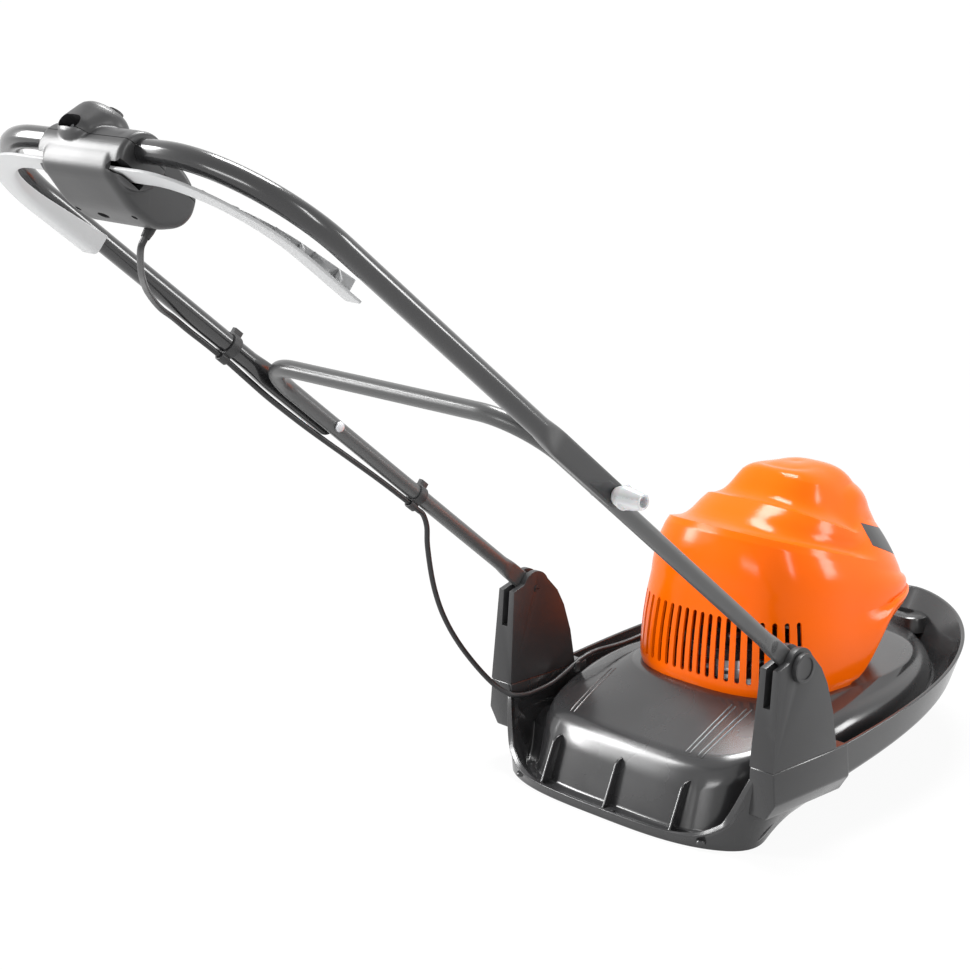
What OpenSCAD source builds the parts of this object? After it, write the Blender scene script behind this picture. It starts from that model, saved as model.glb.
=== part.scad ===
// Hover mower: boat-shaped hood, belt-driven cutter under it, helmet-shaped motor cover,
// and a two-part folding tube handle with a switch box and a squeeze lever.
// Millimetres, +Z up, +Y towards the bow. The origin is on the ground under the blade axis.

/* [Hood] */
// Half width of the hood at its gunwale
hood_half_w = 221; // [214:1:230]
// Distance from the blade axis to the bow tip
bow_y = 385; // [370:1:400]
// Distance from the blade axis back to the rear rim
rear_y = 244; // [240:1:250]
// Wall of the hood
hood_wall = 3.5; // [2.5:0.5:4.5]
// Gunwale height beside the handle brackets
gunwale_z = 101; // [98:1:104]
// Rise of the gunwale from the brackets to the bow
bow_rise = 46; // [30:1:60]
// Height of the flat plate that carries the motor cover
plate_z = 124; // [122:1:126]
// Height of the hump's shoulder ahead of the slope
shoulder_z = 112; // [108:1:116]
// Radius of the hole in the plate for the spindle housing
plate_hole_r = 44; // [40:1:48]

/* [Motor cover] */
// Half width of the cover at its base
cover_half_w = 139; // [135:1:142]
// Rear end of the cover at its base
cover_rear_y = -82; // [-86:1:-80]
// Front end of the cover
cover_front_y = 252; // [246:1:258]
// Height of the cover's top above the ground
cover_top_z = 367; // [362:1:376]
// Wall of the cover
cover_wall = 3; // [2.5:0.5:4]
// Number of vent slots round the cover's rear
vent_count = 21; // [9:2:21]
// Width of a vent slot
vent_w = 6; // [4:0.5:7]

/* [Handle brackets] */
// Height of the handle's pivot axis
pivot_z = 216; // [210:1:222]
// Distance of the pivot axis behind the blade axis
pivot_back = 150; // [146:1:154]
// Distance of each bracket's slot inside the gunwale
slot_inset = 15.5; // [14:0.5:17]
// Width of the slot for the handle's flattened end
slot_w = 9.5; // [9:0.5:11]
// Width of a bracket at its top
bracket_top_w = 26; // [24:0.5:28]
// Width of a bracket at its seat
bracket_seat_w = 34; // [32:0.5:36]
// Diameter of a pivot pin
pivot_pin_d = 8; // [6:0.5:10]
// Diameter of a pivot pin's disc head
pivot_head_d = 34; // [30:1:38]

/* [Handle] */
// Angle of the handle above the horizontal
handle_angle = 39.2; // [36:0.2:42]
// Diameter of the lower tube
lower_d = 19; // [18:0.5:19.5]
// Diameter of the upper tube
upper_d = 22; // [20:0.5:24]
// Wall of both tubes
tube_wall = 1.5; // [1.2:0.1:2]
// Distance along the handle from the pivot to the fold bolts
fold_s = 402; // [396:1:408]
// Distance along the handle from the pivot to the lower crossbar
crossbar_s = 541; // [536:1:546]
// Distance along the handle from the pivot to the upper grip bar
grip_s = 965; // [960:1:970]
// Bend radius of the lower tube
lower_bend_r = 65; // [60:1:70]
// Bend radius of the upper tube
upper_bend_r = 120; // [112:1:126]
// Thickness of the lower tube's flattened ends
lower_flat_t = 8; // [7:0.5:8.5]
// Thickness of the upper tube's flattened ends
upper_flat_t = 8; // [7:0.5:9]
// Diameter of a fold bolt
fold_bolt_d = 6; // [5:0.5:8]
// Length of a hand knob
knob_len = 36; // [32:1:40]
// Diameter of a hand knob at its wide end
knob_d = 26; // [24:1:30]

/* [Switch box] */
// Reach of the switch box to the left of the middle plane
box_left = 57; // [55:1:60]
// Reach of the switch box to the right of the middle plane
box_right = 70; // [67:1:73]
// Wall of the switch box
box_wall = 2.5; // [2:0.5:3]
// Radius of the housing's round ends
collar_r = 26; // [25:0.5:27]
// Diameter of the lock-off button
button_d = 15; // [13:1:16]
// Press travel of the lock-off button
button_travel = 4; // [3:0.5:5]

/* [Cutter] */
// Length of the blade, tip to tip
blade_len = 236; // [220:2:240]
// Width of the blade
blade_w = 42; // [36:1:46]
// Thickness of the blade
blade_t = 3; // [2.5:0.5:4]
// Radius of the air-cushion impeller
impeller_r = 102; // [90:1:106]
// Radius of the spindle shaft
spindle_r = 8; // [7:0.5:9]
// Radius of the driven pulley
driven_r = 52; // [48:1:54]
// Radius of the motor pulley
motor_pulley_r = 13; // [12:0.5:15]
// Distance from the spindle to the motor shaft
drive_centres = 118; // [116:1:120]

/* [Lead] */
// Diameter of the lead
lead_d = 6.5; // [5.5:0.5:7]

/* [Hidden] */
$fn = 48;

// Colours of the finishes
grey = [0.24, 0.24, 0.25];
dark = [0.14, 0.14, 0.15];
orange = [1.0, 0.36, 0.02];
pale = [0.85, 0.86, 0.86];
steel = [0.68, 0.69, 0.71];
copper = [0.72, 0.42, 0.22];
black = [0.06, 0.06, 0.065];

// Shared clearances
seat_gap = 0.05;
run_gap = 0.05;
side_gap = 0.4;

// Hood rings: steps round, and where its plan is widest
hood_steps = 72;
widest_y = -86;
bow_round_x = 1.6;
bow_round_y = 2.9;
stern_round = 3.2;
lip_z = 12;
rim_w = 4;
stern_blend = 40;
gutter_z = 8;
chine_rear_z = 5;
chine_side_z = 41;
chine_bow_z = 104;
floor_step = 9;
slope_rear_z = 70;
slope_rear_y = -196;

// Handle bracket plan
slot_x = hood_half_w - slot_inset;
bracket_rear_y = -198;
bracket_front_y = -84;
bracket_seat_z = gunwale_z + 3;
bracket_head_r = 22;
slot_floor_z = pivot_z - 41.5;

// Handle lines
leg_x = slot_x;
arm_x = leg_x + lower_d / 2 + side_gap + upper_flat_t / 2;
arm_flat_end_s = crossbar_s - 26;
flat_lap = 4;
bolt_head_t = 4;
knob_gap = 0.5;
knob_x0 = arm_x + upper_flat_t / 2 + knob_gap;

// Switch box sections, as distance along the handle and height over its plane
box_split_n = -1;
box_low = [
  [grip_s + 20, 0], [grip_s + 20, -22], [grip_s + 13, -35], [grip_s - 29, -46],
  [grip_s - 60, -44], [grip_s - 81, -28], [grip_s - 86, -14], [grip_s - 82, 0]
];
box_high = [
  [grip_s - 82, 0], [grip_s - 77, 6], [grip_s - 60, 14], [grip_s - 20, 20],
  [grip_s, 20], [grip_s + 17, 9], [grip_s + 20, 0]
];
boss_x = -12;
boss_s = grip_s;
collar_s = grip_s - 5;
collar_n = -8;
sleeve_r = upper_d / 2 + 3.5;
boss_r = 27;
boss_top_n = 34;
lever_s = grip_s - 5;
lever_n = -24;
lever_rod_r = 2.5;
lever_hub_r = 6;
lever_tilt = 1;
lever_bend_r = 106;
lever_x = 198;
lever_w = 24;
lever_t = 7;
lever_end_s = grip_s - 175;

// Drive train heights
spindle_low_z = 14;
blade_z = 20;
impeller_z = 64;
pulley_z = 152;
pulley_h = 14;
mount_z = pulley_z + pulley_h + 6;
mount_t = 4;
stator_z = mount_z + mount_t + 14;
stator_h = 60;
stator_r = 48;
stator_bore_r = 30.5;
armature_r = 29.8;
motor_shaft_r = 6;
bridge_z = stator_z + stator_h + 26;
bridge_t = 5;
fan_z = bridge_z + bridge_t + 4;
bearing_or = 16;
bearing_h = 10;

// Lead route, in four stretches that share their end points
lead_sides = 10;
// A place given as x, distance s along the handle and height n over its plane
function on_handle(x, s, n) =
  [x, -pivot_back - s * cos(handle_angle) + n * sin(handle_angle),
   pivot_z + s * sin(handle_angle) + n * cos(handle_angle)];
lead_gap = 0.45;
clip_wall = 1.4;
upper_lead_n = -upper_d / 2 - lead_d / 2 - clip_wall;
lower_lead_n = -lower_d / 2 - lead_d / 2 - clip_wall;
upper_route = [
  on_handle(33, 896, -34), on_handle(33, 896, -42), on_handle(32.5, 895.5, -49), on_handle(24, 888, -56),
  on_handle(-20, 848, -57),
  on_handle(-80, 797, -48), on_handle(-140, 744, -36), on_handle(-190, 691, -25), on_handle(-212, 656, -18),
  on_handle(-arm_x, 625, upper_lead_n - 0.5), on_handle(-arm_x, 600, upper_lead_n), on_handle(-arm_x, 578, upper_lead_n)
];
fold_route = [
  on_handle(-arm_x, 577.6, upper_lead_n), on_handle(-arm_x, 560, upper_lead_n), on_handle(0.4 - arm_x, 530, -17),
  on_handle(-leg_x - 11.5, 490, -19), on_handle(-leg_x - 7.5, 440, -19.5), on_handle(-leg_x - 3.5, 400, -19), on_handle(-leg_x - 1.5, 350, -17),
  on_handle(-leg_x - 0.5, 300, -15), on_handle(-leg_x, 255, lower_lead_n), on_handle(-leg_x, 226, lower_lead_n)
];
loop_route = [
  on_handle(-leg_x, 225.6, lower_lead_n), on_handle(-leg_x, 216, lower_lead_n - 0.5), [-slot_x - 1, -320, 325], [-slot_x - 4.5, -316, 300],
  [-slot_x - 7.5, -306, 257], [-slot_x - 8.5, -294, 222], [-slot_x - 8.5, -279, 192], [-slot_x - 7.5, -261, 164], [-slot_x - 4.5, -241, 137], [1.5 - slot_x, -222, 113],
  [10.5 - slot_x, -210, 99], [21.5 - slot_x, -200, 92], [26.5 - slot_x, -182, 89], [27.5 - slot_x, -158, 90], [28 - slot_x, -134, 94], [29 - slot_x, -112, 103],
  [30 - slot_x, -98, 109.5], [30.6 - slot_x, -90, 113], [31.1 - slot_x, -82, 115.2]
];
deck_route = [
  [31.12 - slot_x, -81.6, 115.31], [31.6 - slot_x, -74, 117.4], [33.5 - slot_x, -58, 119.5], [36.5 - slot_x, -40, 120], [40.5 - slot_x, -18, 121.5],
  [44.5 - slot_x, 4, 125], [48.5 - slot_x, 20, 129.5], [-cover_half_w - 11, 31, 132], [-cover_half_w - 2, 34, 132], [8 - cover_half_w, 34, 132]
];

// Small maths
function clamp01(t) = min(max(t, 0), 1);
function smooth(t) = clamp01(t) * clamp01(t) * (3 - 2 * clamp01(t));
function mix(a, b, t) = a + (b - a) * t;
function signed_pow(v, e) = sign(v) * pow(abs(v), e);
function unit(v) = v / norm(v);

// Plan of the hood: a boat outline of half width w between the bow yf and the stern yr
function boat_xy(a, w, yf, yr) =
  sin(a) >= 0
    ? [w * signed_pow(cos(a), 2 / bow_round_x),
       widest_y + (yf - widest_y) * pow(sin(a), 2 / bow_round_y)]
    : [w * signed_pow(cos(a), 2 / stern_round),
       widest_y - (widest_y - yr) * pow(-sin(a), 2 / stern_round)];

// Plan of the hump: the same outline, narrower towards the stern
function hump_xy(a, w, yf, yr) =
  let (p = boat_xy(a, w, yf, yr))
  [p.x * mix(0.86, 1, smooth((p.y + 200) / 170)), p.y];

// Plan of the cover: an oval of half width w between yr and yf, widest at ym
cover_mid_y = 62;
cover_round = 2.8;
function oval_xy(a, w, yf, yr, ym = cover_mid_y) =
  [w * signed_pow(cos(a), 2 / cover_round),
   ym + (sin(a) >= 0 ? yf - ym : ym - yr) * signed_pow(sin(a), 2 / cover_round)];

// Heights over the hood's plan
function stern_t(y) = smooth((y + rear_y - 6) / stern_blend);
function gunwale_at(y) =
  y >= widest_y
    ? gunwale_z + bow_rise * (y - widest_y) / (bow_y - widest_y)
    : max(mix(lip_z, gunwale_z, smooth((y + rear_y - 16) / stern_blend)), chine_at(y) + 7);
function chine_at(y) =
  mix(chine_rear_z, mix(chine_side_z, chine_bow_z, clamp01((y + 200) / 467)), stern_t(y));
function floor_at(y) = chine_at(y) + mix(gutter_z - chine_rear_z, floor_step, stern_t(y));
function shoulder_at(y) =
  y > 0
    ? shoulder_z
    : mix(slope_rear_z, shoulder_z, sqrt(clamp01((y - slope_rear_y) / -slope_rear_y)));
function rim_share(y) =
  y < widest_y
    ? mix(0.72, 0.98, smooth((widest_y - y) / 130))
    : mix(0.72, 0.58, clamp01((y - widest_y) / 170));

// Ground rim below the chine, drawn in by d
function rim_pt(a, d) =
  let (c = boat_xy(a, hood_half_w - 6, bow_y - 23, 1 - rear_y))
  let (y = c.y > widest_y ? widest_y + (c.y - widest_y) * 0.85 : c.y)
  let (p = [c.x * rim_share(c.y), y])
  let (q = p - d * unit(p - [0, -40]))
  [q.x, q.y, 0];

// Half width between the cover's seat, share 0, and the gutter, share 1
function between(share) = mix(cover_half_w + 6, hood_half_w - 11, share);

// One ring of the hood at angle a, by its number from the plate's hole outwards and back inside
function with_z(p, z) = [p.x, p.y, z];
function hood_point(k, a) =
  k == 0 ? [plate_hole_r * cos(a), plate_hole_r * sin(a), plate_z]
  : k == 1 ? with_z(oval_xy(a, cover_half_w + 6, cover_front_y + 8, cover_rear_y - 6), plate_z)
  : k == 2 ? let (p = hump_xy(a, between(0.354), bow_y - 73, -184)) with_z(p, shoulder_at(p.y) + 4)
  : k == 3 ? let (p = hump_xy(a, between(0.538), bow_y - 59, -195)) with_z(p, shoulder_at(p.y) - 1)
  : k == 4 ? let (p = hump_xy(a, between(0.646), bow_y - 51, -203)) with_z(p, shoulder_at(p.y) - 13)
  : k == 5 ? let (p = hump_xy(a, between(0.708), bow_y - 49, 23 - rear_y))
      with_z(p, min(hood_point(6, a).z, shoulder_at(p.y) - 26))
  : k == 6 ? let (p = boat_xy(a, hood_half_w - 11, bow_y - 29, 8 - rear_y)) with_z(p, floor_at(p.y))
  : k == 7 ? let (p = boat_xy(a, hood_half_w - 4.5, bow_y - 5, 4.5 - rear_y)) with_z(p, gunwale_at(p.y))
  : k == 8 ? let (p = boat_xy(a, hood_half_w, bow_y, -rear_y)) with_z(p, gunwale_at(p.y))
  : k == 9 ? let (p = boat_xy(a, hood_half_w - 6, bow_y - 23, 1 - rear_y)) with_z(p, chine_at(p.y))
  : k == 10 ? rim_pt(a, 0)
  : k == 11 ? rim_pt(a, rim_w)
  : k == 12 ? mix(with_z(boat_xy(a, hood_half_w - 13, bow_y - 32, 7 - rear_y), hood_point(6, a).z - hood_wall),
                  with_z(hump_xy(a, between(0.662), bow_y - 53, -200), hood_point(5, a).z - hood_wall - 4),
                  smooth((sin(a) - 0.02) / 0.25))
  : k == 13 ? with_z(hump_xy(a, between(0.654), bow_y - 53, 27 - rear_y), hood_point(5, a).z - hood_wall)
  : k == 14 ? with_z(hump_xy(a, between(0.592), bow_y - 55, -199), hood_point(4, a).z - 2)
  : k == 15 ? with_z(hump_xy(a, between(0.492), bow_y - 63, -191), hood_point(3, a).z - hood_wall)
  : k == 16 ? with_z(hump_xy(a, between(0.338), bow_y - 74, -182), hood_point(2, a).z - hood_wall)
  : k == 17 ? with_z(oval_xy(a, cover_half_w + 5, cover_front_y + 7, cover_rear_y - 5), plate_z - hood_wall)
  : [plate_hole_r * cos(a), plate_hole_r * sin(a), plate_z - hood_wall];
hood_rings = 19;

// Triangles between ring i and ring j, n points round, with diagonals mirrored left and right
function band(i, j, n) =
  [for (k = [0:n - 1]) let (m = (k + 1) % n, a = i * n + k, b = i * n + m, c = j * n + m, d = j * n + k)
    each (k >= n / 4 && k < 3 * n / 4 ? [[a, b, d], [b, c, d]] : [[a, b, c], [a, c, d]])];

module hood_shell() {
  pts = [for (k = [0:hood_rings - 1]) for (i = [0:hood_steps - 1]) hood_point(k, (i + 0.5) * 360 / hood_steps)];
  faces = [for (k = [0:hood_rings - 1]) each band(k, (k + 1) % hood_rings, hood_steps)];
  polyhedron(pts, faces, convexity = 8);
}

// Outline drawn in the YZ plane and extruded along X from x0 to x1
module yz_prism(points, x0, x1) {
  translate([x0, 0, 0]) rotate([90, 0, 90]) linear_extrude(x1 - x0) polygon(points);
}

// Outline drawn in the XZ plane and extruded along Y from y0 to y1
module xz_prism(points, y0, y1) {
  translate([0, y1, 0]) rotate([90, 0, 0]) linear_extrude(y1 - y0) polygon(points);
}

// Frame of the handle: x across, distance s along the handle is -y, height n over its plane is z
module handle_frame() {
  translate([0, -pivot_back, pivot_z]) rotate([-handle_angle, 0, 0]) children();
}

// Outline drawn as s and n and extruded across the handle from x0 to x1
module sn_prism(points, x0, x1) {
  translate([x1, 0, 0]) rotate([90, 0, -90]) linear_extrude(x1 - x0) polygon(points);
}

// Rod along X between x0 and x1 at the handle place s, n
module cross_rod(x0, x1, s, n, r) {
  translate([x0, -s, n]) rotate([0, 90, 0]) cylinder(h = x1 - x0, r = r);
}

module mirrored_pair() {
  children();
  mirror([1, 0, 0]) children();
}

// Half width of a bracket's section at height z
function bracket_half(z) =
  mix(bracket_seat_w, bracket_top_w, (z - bracket_seat_z) / (pivot_z - bracket_seat_z)) / 2;
seat_half = bracket_half(bracket_seat_z);
bracket_top_z = pivot_z + bracket_head_r + 2;
top_half = bracket_half(bracket_top_z);

// Raised seat on the hood's side below a bracket
seat_low_z = 46;
module bracket_seat() {
  xz_prism([
    [slot_x - seat_half - 1, seat_low_z], [hood_half_w - 8, seat_low_z],
    [slot_x + seat_half + 3.5, 66], [slot_x + seat_half, bracket_seat_z],
    [slot_x - seat_half, bracket_seat_z]
  ], bracket_rear_y, bracket_front_y + 22);
}

// Ribs on the rear face of the hump
rib_x = [-102, 0, 102];
rib_t = 4;
rib_out = 10;
module stern_rib(x) {
  yz_prism([[-190, gutter_z - 1], [-226 - rib_out / 2, gutter_z - 1], [-207, 62], [-190, 66]],
           x - rib_t / 2, x + rib_t / 2);
}

// Oval boss in the bow, with a finger pocket
boss_y = bow_y - 44;
bow_boss_w = 46;
bow_boss_z = 124;
module bow_boss() {
  for (s = [-1, 1])
    translate([s * bow_boss_w / 2, boss_y, chine_bow_z + 4]) cylinder(h = bow_boss_z - chine_bow_z - 4, r = 20);
  translate([-bow_boss_w / 2, boss_y - 20, chine_bow_z + 4])
    cube([bow_boss_w, 40, bow_boss_z - chine_bow_z - 4]);
}
module bow_pocket() {
  for (s = [-1, 1])
    translate([s * 14, boss_y + 4, bow_boss_z - 12]) cylinder(h = 20, r = 8);
  translate([-14, boss_y - 4, bow_boss_z - 12]) cube([28, 16, 20]);
}

module deck_hood() {
  color(grey) difference() {
    union() {
      hood_shell();
      mirrored_pair() bracket_seat();
      for (x = rib_x) stern_rib(x);
      bow_boss();
    }
    bow_pocket();
    for (p = cover_screw_places) translate([p.x, p.y, plate_z - 10]) cylinder(h = 20, r = cover_screw_r + 0.3);
    for (s = [-1, 1]) for (y = bracket_screw_y)
      translate([s * slot_x, y, seat_low_z - 1]) cylinder(h = 80, r = bracket_screw_r + 0.2);
    for (s = [-1, 1]) for (y = bracket_screw_y)
      translate([s * slot_x, y, seat_low_z - 1]) cylinder(h = bracket_head_z - seat_low_z + 1, r = 6);
  }
}

// Screws that hold the brackets from below
bracket_screw_y = [-176, -112];
bracket_screw_r = 2.5;
bracket_head_z = 74;
bracket_screw_in = 22;
module bracket_screws() {
  color(steel) for (s = [-1, 1]) for (y = bracket_screw_y) translate([s * slot_x, y, 0]) {
    translate([0, 0, bracket_head_z - 4]) cylinder(h = 4, r = 5);
    translate([0, 0, bracket_head_z - 1]) cylinder(h = bracket_seat_z + bracket_screw_in - bracket_head_z, r = bracket_screw_r);
  }
}

// Handle bracket on the right: two cheeks with a slot between them
module right_bracket() {
  difference() {
    intersection() {
      union() {
        yz_prism([
          [bracket_rear_y, bracket_seat_z], [bracket_front_y, bracket_seat_z],
          [bracket_front_y - 7, 150], [bracket_front_y - 18, pivot_z - 30], [bracket_front_y - 29, pivot_z - 9],
          [-pivot_back + bracket_head_r * cos(25), pivot_z + bracket_head_r * sin(25)],
          [-pivot_back, pivot_z + bracket_head_r - 1], [-pivot_back - bracket_head_r, pivot_z + 8],
          [bracket_rear_y + 9, pivot_z + 3]
        ], slot_x - 40, slot_x + 40);
        translate([slot_x - 40, -pivot_back, pivot_z]) rotate([0, 90, 0])
          cylinder(h = 80, r = bracket_head_r);
      }
      xz_prism([
        [slot_x - seat_half, bracket_seat_z], [slot_x + seat_half, bracket_seat_z],
        [slot_x + top_half, bracket_top_z], [slot_x - top_half, bracket_top_z]
      ], bracket_rear_y - 5, bracket_front_y + 5);
    }
    translate([slot_x - slot_w / 2, bracket_rear_y - 5, slot_floor_z])
      cube([slot_w, bracket_front_y - bracket_rear_y + 10, 100]);
    translate([slot_x - 40, -pivot_back, pivot_z]) rotate([0, 90, 0])
      cylinder(h = 80, r = pivot_pin_d / 2 + seat_gap);
    for (y = bracket_screw_y)
      translate([slot_x, y, bracket_seat_z - 1])
        cylinder(h = bracket_screw_in + 2, r = bracket_screw_r + seat_gap);
  }
}
module right_handle_bracket() { color(grey) right_bracket(); }
module left_handle_bracket() { color(grey) mirror([1, 0, 0]) right_bracket(); }

// Pivot pin with a large disc head outside and a slit at its inner end
pin_head_t = 6;
pin_out = 1.2;
module pivot_pin() {
  x_in = slot_x - bracket_half(pivot_z) - pin_out;
  x_out = slot_x + bracket_half(pivot_z - pivot_head_d / 2) + seat_gap;
  difference() {
    union() {
      translate([x_in, -pivot_back, pivot_z]) rotate([0, 90, 0]) cylinder(h = x_out - x_in + 1, d = pivot_pin_d);
      translate([x_out, -pivot_back, pivot_z]) rotate([0, 90, 0]) cylinder(h = pin_head_t, d = pivot_head_d);
    }
    translate([x_out + pin_head_t - 1.5, -pivot_back, pivot_z]) rotate([0, 90, 0])
      cylinder(h = 5, d = pivot_head_d - 8);
    translate([x_in - 1, -pivot_back - pivot_pin_d, pivot_z - 0.6]) cube([3, 2 * pivot_pin_d, 1.2]);
  }
}
module right_pivot_pin() { color(grey) pivot_pin(); }
module left_pivot_pin() { color(grey) mirror([1, 0, 0]) pivot_pin(); }

// Motor cover: rings of an oval helmet, each with half width, rear, front and a tilted height
cover_steps = 84;
visor_z = 70;
function visor_at(y) = plate_z + visor_z * smooth((y - 60) / 100);
function belt_at(y) = max(max(250 - 0.28 * (y + 65), 212), visor_at(y) + 19);
function ledge_at(y) = max(316 - 0.32 * (y + 50), 222);
function shelf_at(y) = 337 - 0.35 * (y - 50);
function step_at(y) = 342 - 0.43 * y;
function front_t(y) = smooth((y - 110) / 60);
function crown_at(y) = mix(362 - 0.3 * (y - 52), cover_top_z - 10 - 0.19 * (y - 65), front_t(y));
function tucked(p) = [p.x * (1 - 0.2 * smooth((p.y - 60) / 80)), p.y];
function eased(p, share) = [p.x * mix(1, share, front_t(p.y)), p.y];
function cover_xy(k, a, d) =
  k == 0 ? oval_xy(a, cover_half_w * 30 / 139 - d, 148 - d, 72 + d, 108)
  : k == 1 ? eased(oval_xy(a, cover_half_w * 57 / 139 - d, 180 - d, 51 + d, 100), 52 / 57)
  : k == 2 ? eased(oval_xy(a, cover_half_w * 84 / 139 - d, 217 - d, 17 + d, 100), 68 / 84)
  : k == 3 ? eased(oval_xy(a, cover_half_w * 92 / 139 - d, 226 - d, 9 + d, 100), 75 / 92)
  : k == 4 ? oval_xy(a, cover_half_w * 113 / 139 - d, cover_front_y - 4 - d, -52 + d, 80)
  : k == 5 ? oval_xy(a, cover_half_w * 117 / 139 - d, cover_front_y - 1 - d, -57 + d, 78)
  : k == 6 ? oval_xy(a, cover_half_w - 9 - d, cover_front_y - d, -69 + d)
  : k == 7 ? oval_xy(a, cover_half_w - d, cover_front_y - 6 - d, cover_rear_y + d)
  : k == 8 ? oval_xy(a, cover_half_w - 1 - d, cover_front_y - 12 - d, cover_rear_y + 1 + d)
  : tucked(oval_xy(a, cover_half_w - 2 - 2 * d, cover_front_y - 60 - 2 * d, cover_rear_y + 2 + 2 * d));
function cover_height(k, y, d) =
  k == 0 ? cover_top_z - 2 - 0.05 * (y - 108) - d
  : k == 1 ? crown_at(y) - 0.7 * d
  : k == 2 ? mix(step_at(y) + 3, shelf_at(y) + 4, front_t(y)) - 0.3 * d
  : k == 3 ? mix(step_at(y), shelf_at(y), front_t(y)) - 0.8 * d
  : k == 4 ? ledge_at(y) - 0.7 * d
  : k == 5 ? ledge_at(y) - 9
  : k == 6 ? belt_at(y) - 6
  : k == 7 ? visor_at(y) + 9 + 0.4 * d
  : k == 8 ? visor_at(y) + 4 + d
  : plate_z + seat_gap;
function cover_point(k, a, d) = with_z(cover_xy(k, a, d), cover_height(k, cover_xy(k, a, 0).y, d));
cover_out_rings = 10;
cover_apex = [0, 112, cover_top_z];

module cover_shell() {
  n = cover_steps;
  m = cover_out_rings;
  rings = [
    for (k = [0:m - 1]) [for (i = [0:n - 1]) cover_point(k, (i + 0.5) * 360 / n, 0)],
    for (k = [m - 1:-1:0]) [for (i = [0:n - 1]) cover_point(k, (i + 0.5) * 360 / n, cover_wall)]
  ];
  pts = concat([for (r = rings) each r], [cover_apex, cover_apex - [0, 0, cover_wall]]);
  last = 2 * m - 1;
  faces = concat(
    [for (k = [0:last - 1]) each band(k, k + 1, n)],
    [for (i = [0:n - 1]) [2 * m * n, (i + 1) % n, i]],
    [for (i = [0:n - 1]) [2 * m * n + 1, last * n + i, last * n + (i + 1) % n]]
  );
  polyhedron(pts, faces, convexity = 10);
}

// Vent slots fan out round the rear of the cover
vent_low_z = plate_z + 15;
vent_high_z = plate_z + 92;
vent_centre_y = 30;
vent_spread = 130;
module vent_slots() {
  for (i = [0:vent_count - 1])
    translate([0, vent_centre_y, 0]) rotate([0, 0, 270 - vent_spread / 2 + i * vent_spread / (vent_count - 1)])
      translate([70, -vent_w / 2, vent_low_z]) cube([120, vent_w, vent_high_z - vent_low_z]);
}

// Screw places that hold the cover to the plate
cover_screw_places = [for (s = [1, -1]) each [[s * (cover_half_w - 12), 56], [s * cover_half_w * 0.604, 146]]];
cover_screw_r = 2;
cover_boss_h = 16;
module motor_cover() {
  color(orange) difference() {
    union() {
      difference() {
        cover_shell();
        vent_slots();
        insert_seat(0.2);
        translate([-cover_half_w - 10, lead_entry_y, lead_entry_z]) rotate([0, 90, 0]) cylinder(h = 30, r = grommet_r + seat_gap);
      }
      for (p = cover_screw_places) translate([p.x, p.y, plate_z + seat_gap]) cylinder(h = cover_boss_h, r = 6);
    }
    for (p = cover_screw_places) translate([p.x, p.y, plate_z - 1]) cylinder(h = 12, r = cover_screw_r + seat_gap);
  }
}
module cover_screws() {
  color(steel) for (p = cover_screw_places) {
    translate([p.x, p.y, plate_z - hood_wall - 4]) cylinder(h = 4 - seat_gap, r = 4);
    translate([p.x, p.y, plate_z - hood_wall - 1]) cylinder(h = 12, r = cover_screw_r);
  }
}

// Grey insert let into the front of the cover
insert_y0 = 142;
insert_end_y = 300;
function insert_top(y) = 297.8 - 0.35 * (y - insert_y0);
function insert_low(y) = 273 - 0.42 * (y - insert_y0);
module insert_seat(gap) {
  translate([-cover_half_w, 0, 0]) rotate([90, 0, 90]) linear_extrude(2 * cover_half_w) polygon([
    [insert_y0 - gap, insert_low(insert_y0) - gap], [insert_end_y, insert_low(insert_end_y) - gap],
    [insert_end_y, insert_top(insert_end_y) + gap], [insert_y0 - gap, insert_top(insert_y0) + gap]
  ]);
}
module cover_front_insert() {
  color(dark) intersection() {
    cover_shell();
    insert_seat(0);
  }
}

// Grommet where the lead enters the cover
lead_entry_y = 34;
lead_entry_z = 132;
grommet_r = 6;
module cover_grommet() {
  color(black) translate([-cover_half_w - 3, lead_entry_y, lead_entry_z]) rotate([0, 90, 0]) difference() {
    cylinder(h = 12, r = grommet_r);
    translate([0, 0, -1]) cylinder(h = 16, r = lead_d / 2 + lead_gap);
  }
}

// Motor mount: a plate on four pillars over the belt
mount_half = 56;
mount_pillar = 50;
mount_pillar_r = 6;
module motor_mount() {
  color(dark) translate([0, drive_centres, 0]) difference() {
    union() {
      translate([-mount_half, -mount_half, mount_z]) cube([2 * mount_half, 2 * mount_half, mount_t]);
      for (x = [-1, 1]) for (y = [-1, 1])
        translate([x * mount_pillar, y * mount_pillar, plate_z]) cylinder(h = mount_z - plate_z, r = mount_pillar_r);
      translate([0, 0, mount_z]) cylinder(h = mount_t + bearing_h + 2, r = bearing_or + 4);
      for (x = [-1, 1]) translate([x * 42, 0, mount_z]) cylinder(h = stator_z - mount_z, r = 5);
    }
    translate([0, 0, mount_z + mount_t]) cylinder(h = 40, r = bearing_or + seat_gap);
    translate([0, 0, mount_z - 1]) cylinder(h = 40, r = bearing_or - 4);
  }
}
module ring(h, r1, r2) {
  difference() {
    cylinder(h = h, r = r1);
    translate([0, 0, -1]) cylinder(h = h + 2, r = r2);
  }
}
module motor_stator() {
  color(steel) translate([0, drive_centres, stator_z]) ring(stator_h, stator_r, stator_bore_r);
}

// Field coils: end turns above and below the stator
coil_h = 9;
module coil_arc(z, a) {
  translate([0, drive_centres, z]) rotate([0, 0, a - 55]) rotate_extrude(angle = 110)
    translate([stator_bore_r + 3, 0]) square([12, coil_h]);
}
module field_coils() {
  color(copper) for (a = [90, 270]) {
    coil_arc(stator_z - coil_h, a);
    coil_arc(stator_z + stator_h, a);
  }
}

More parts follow.
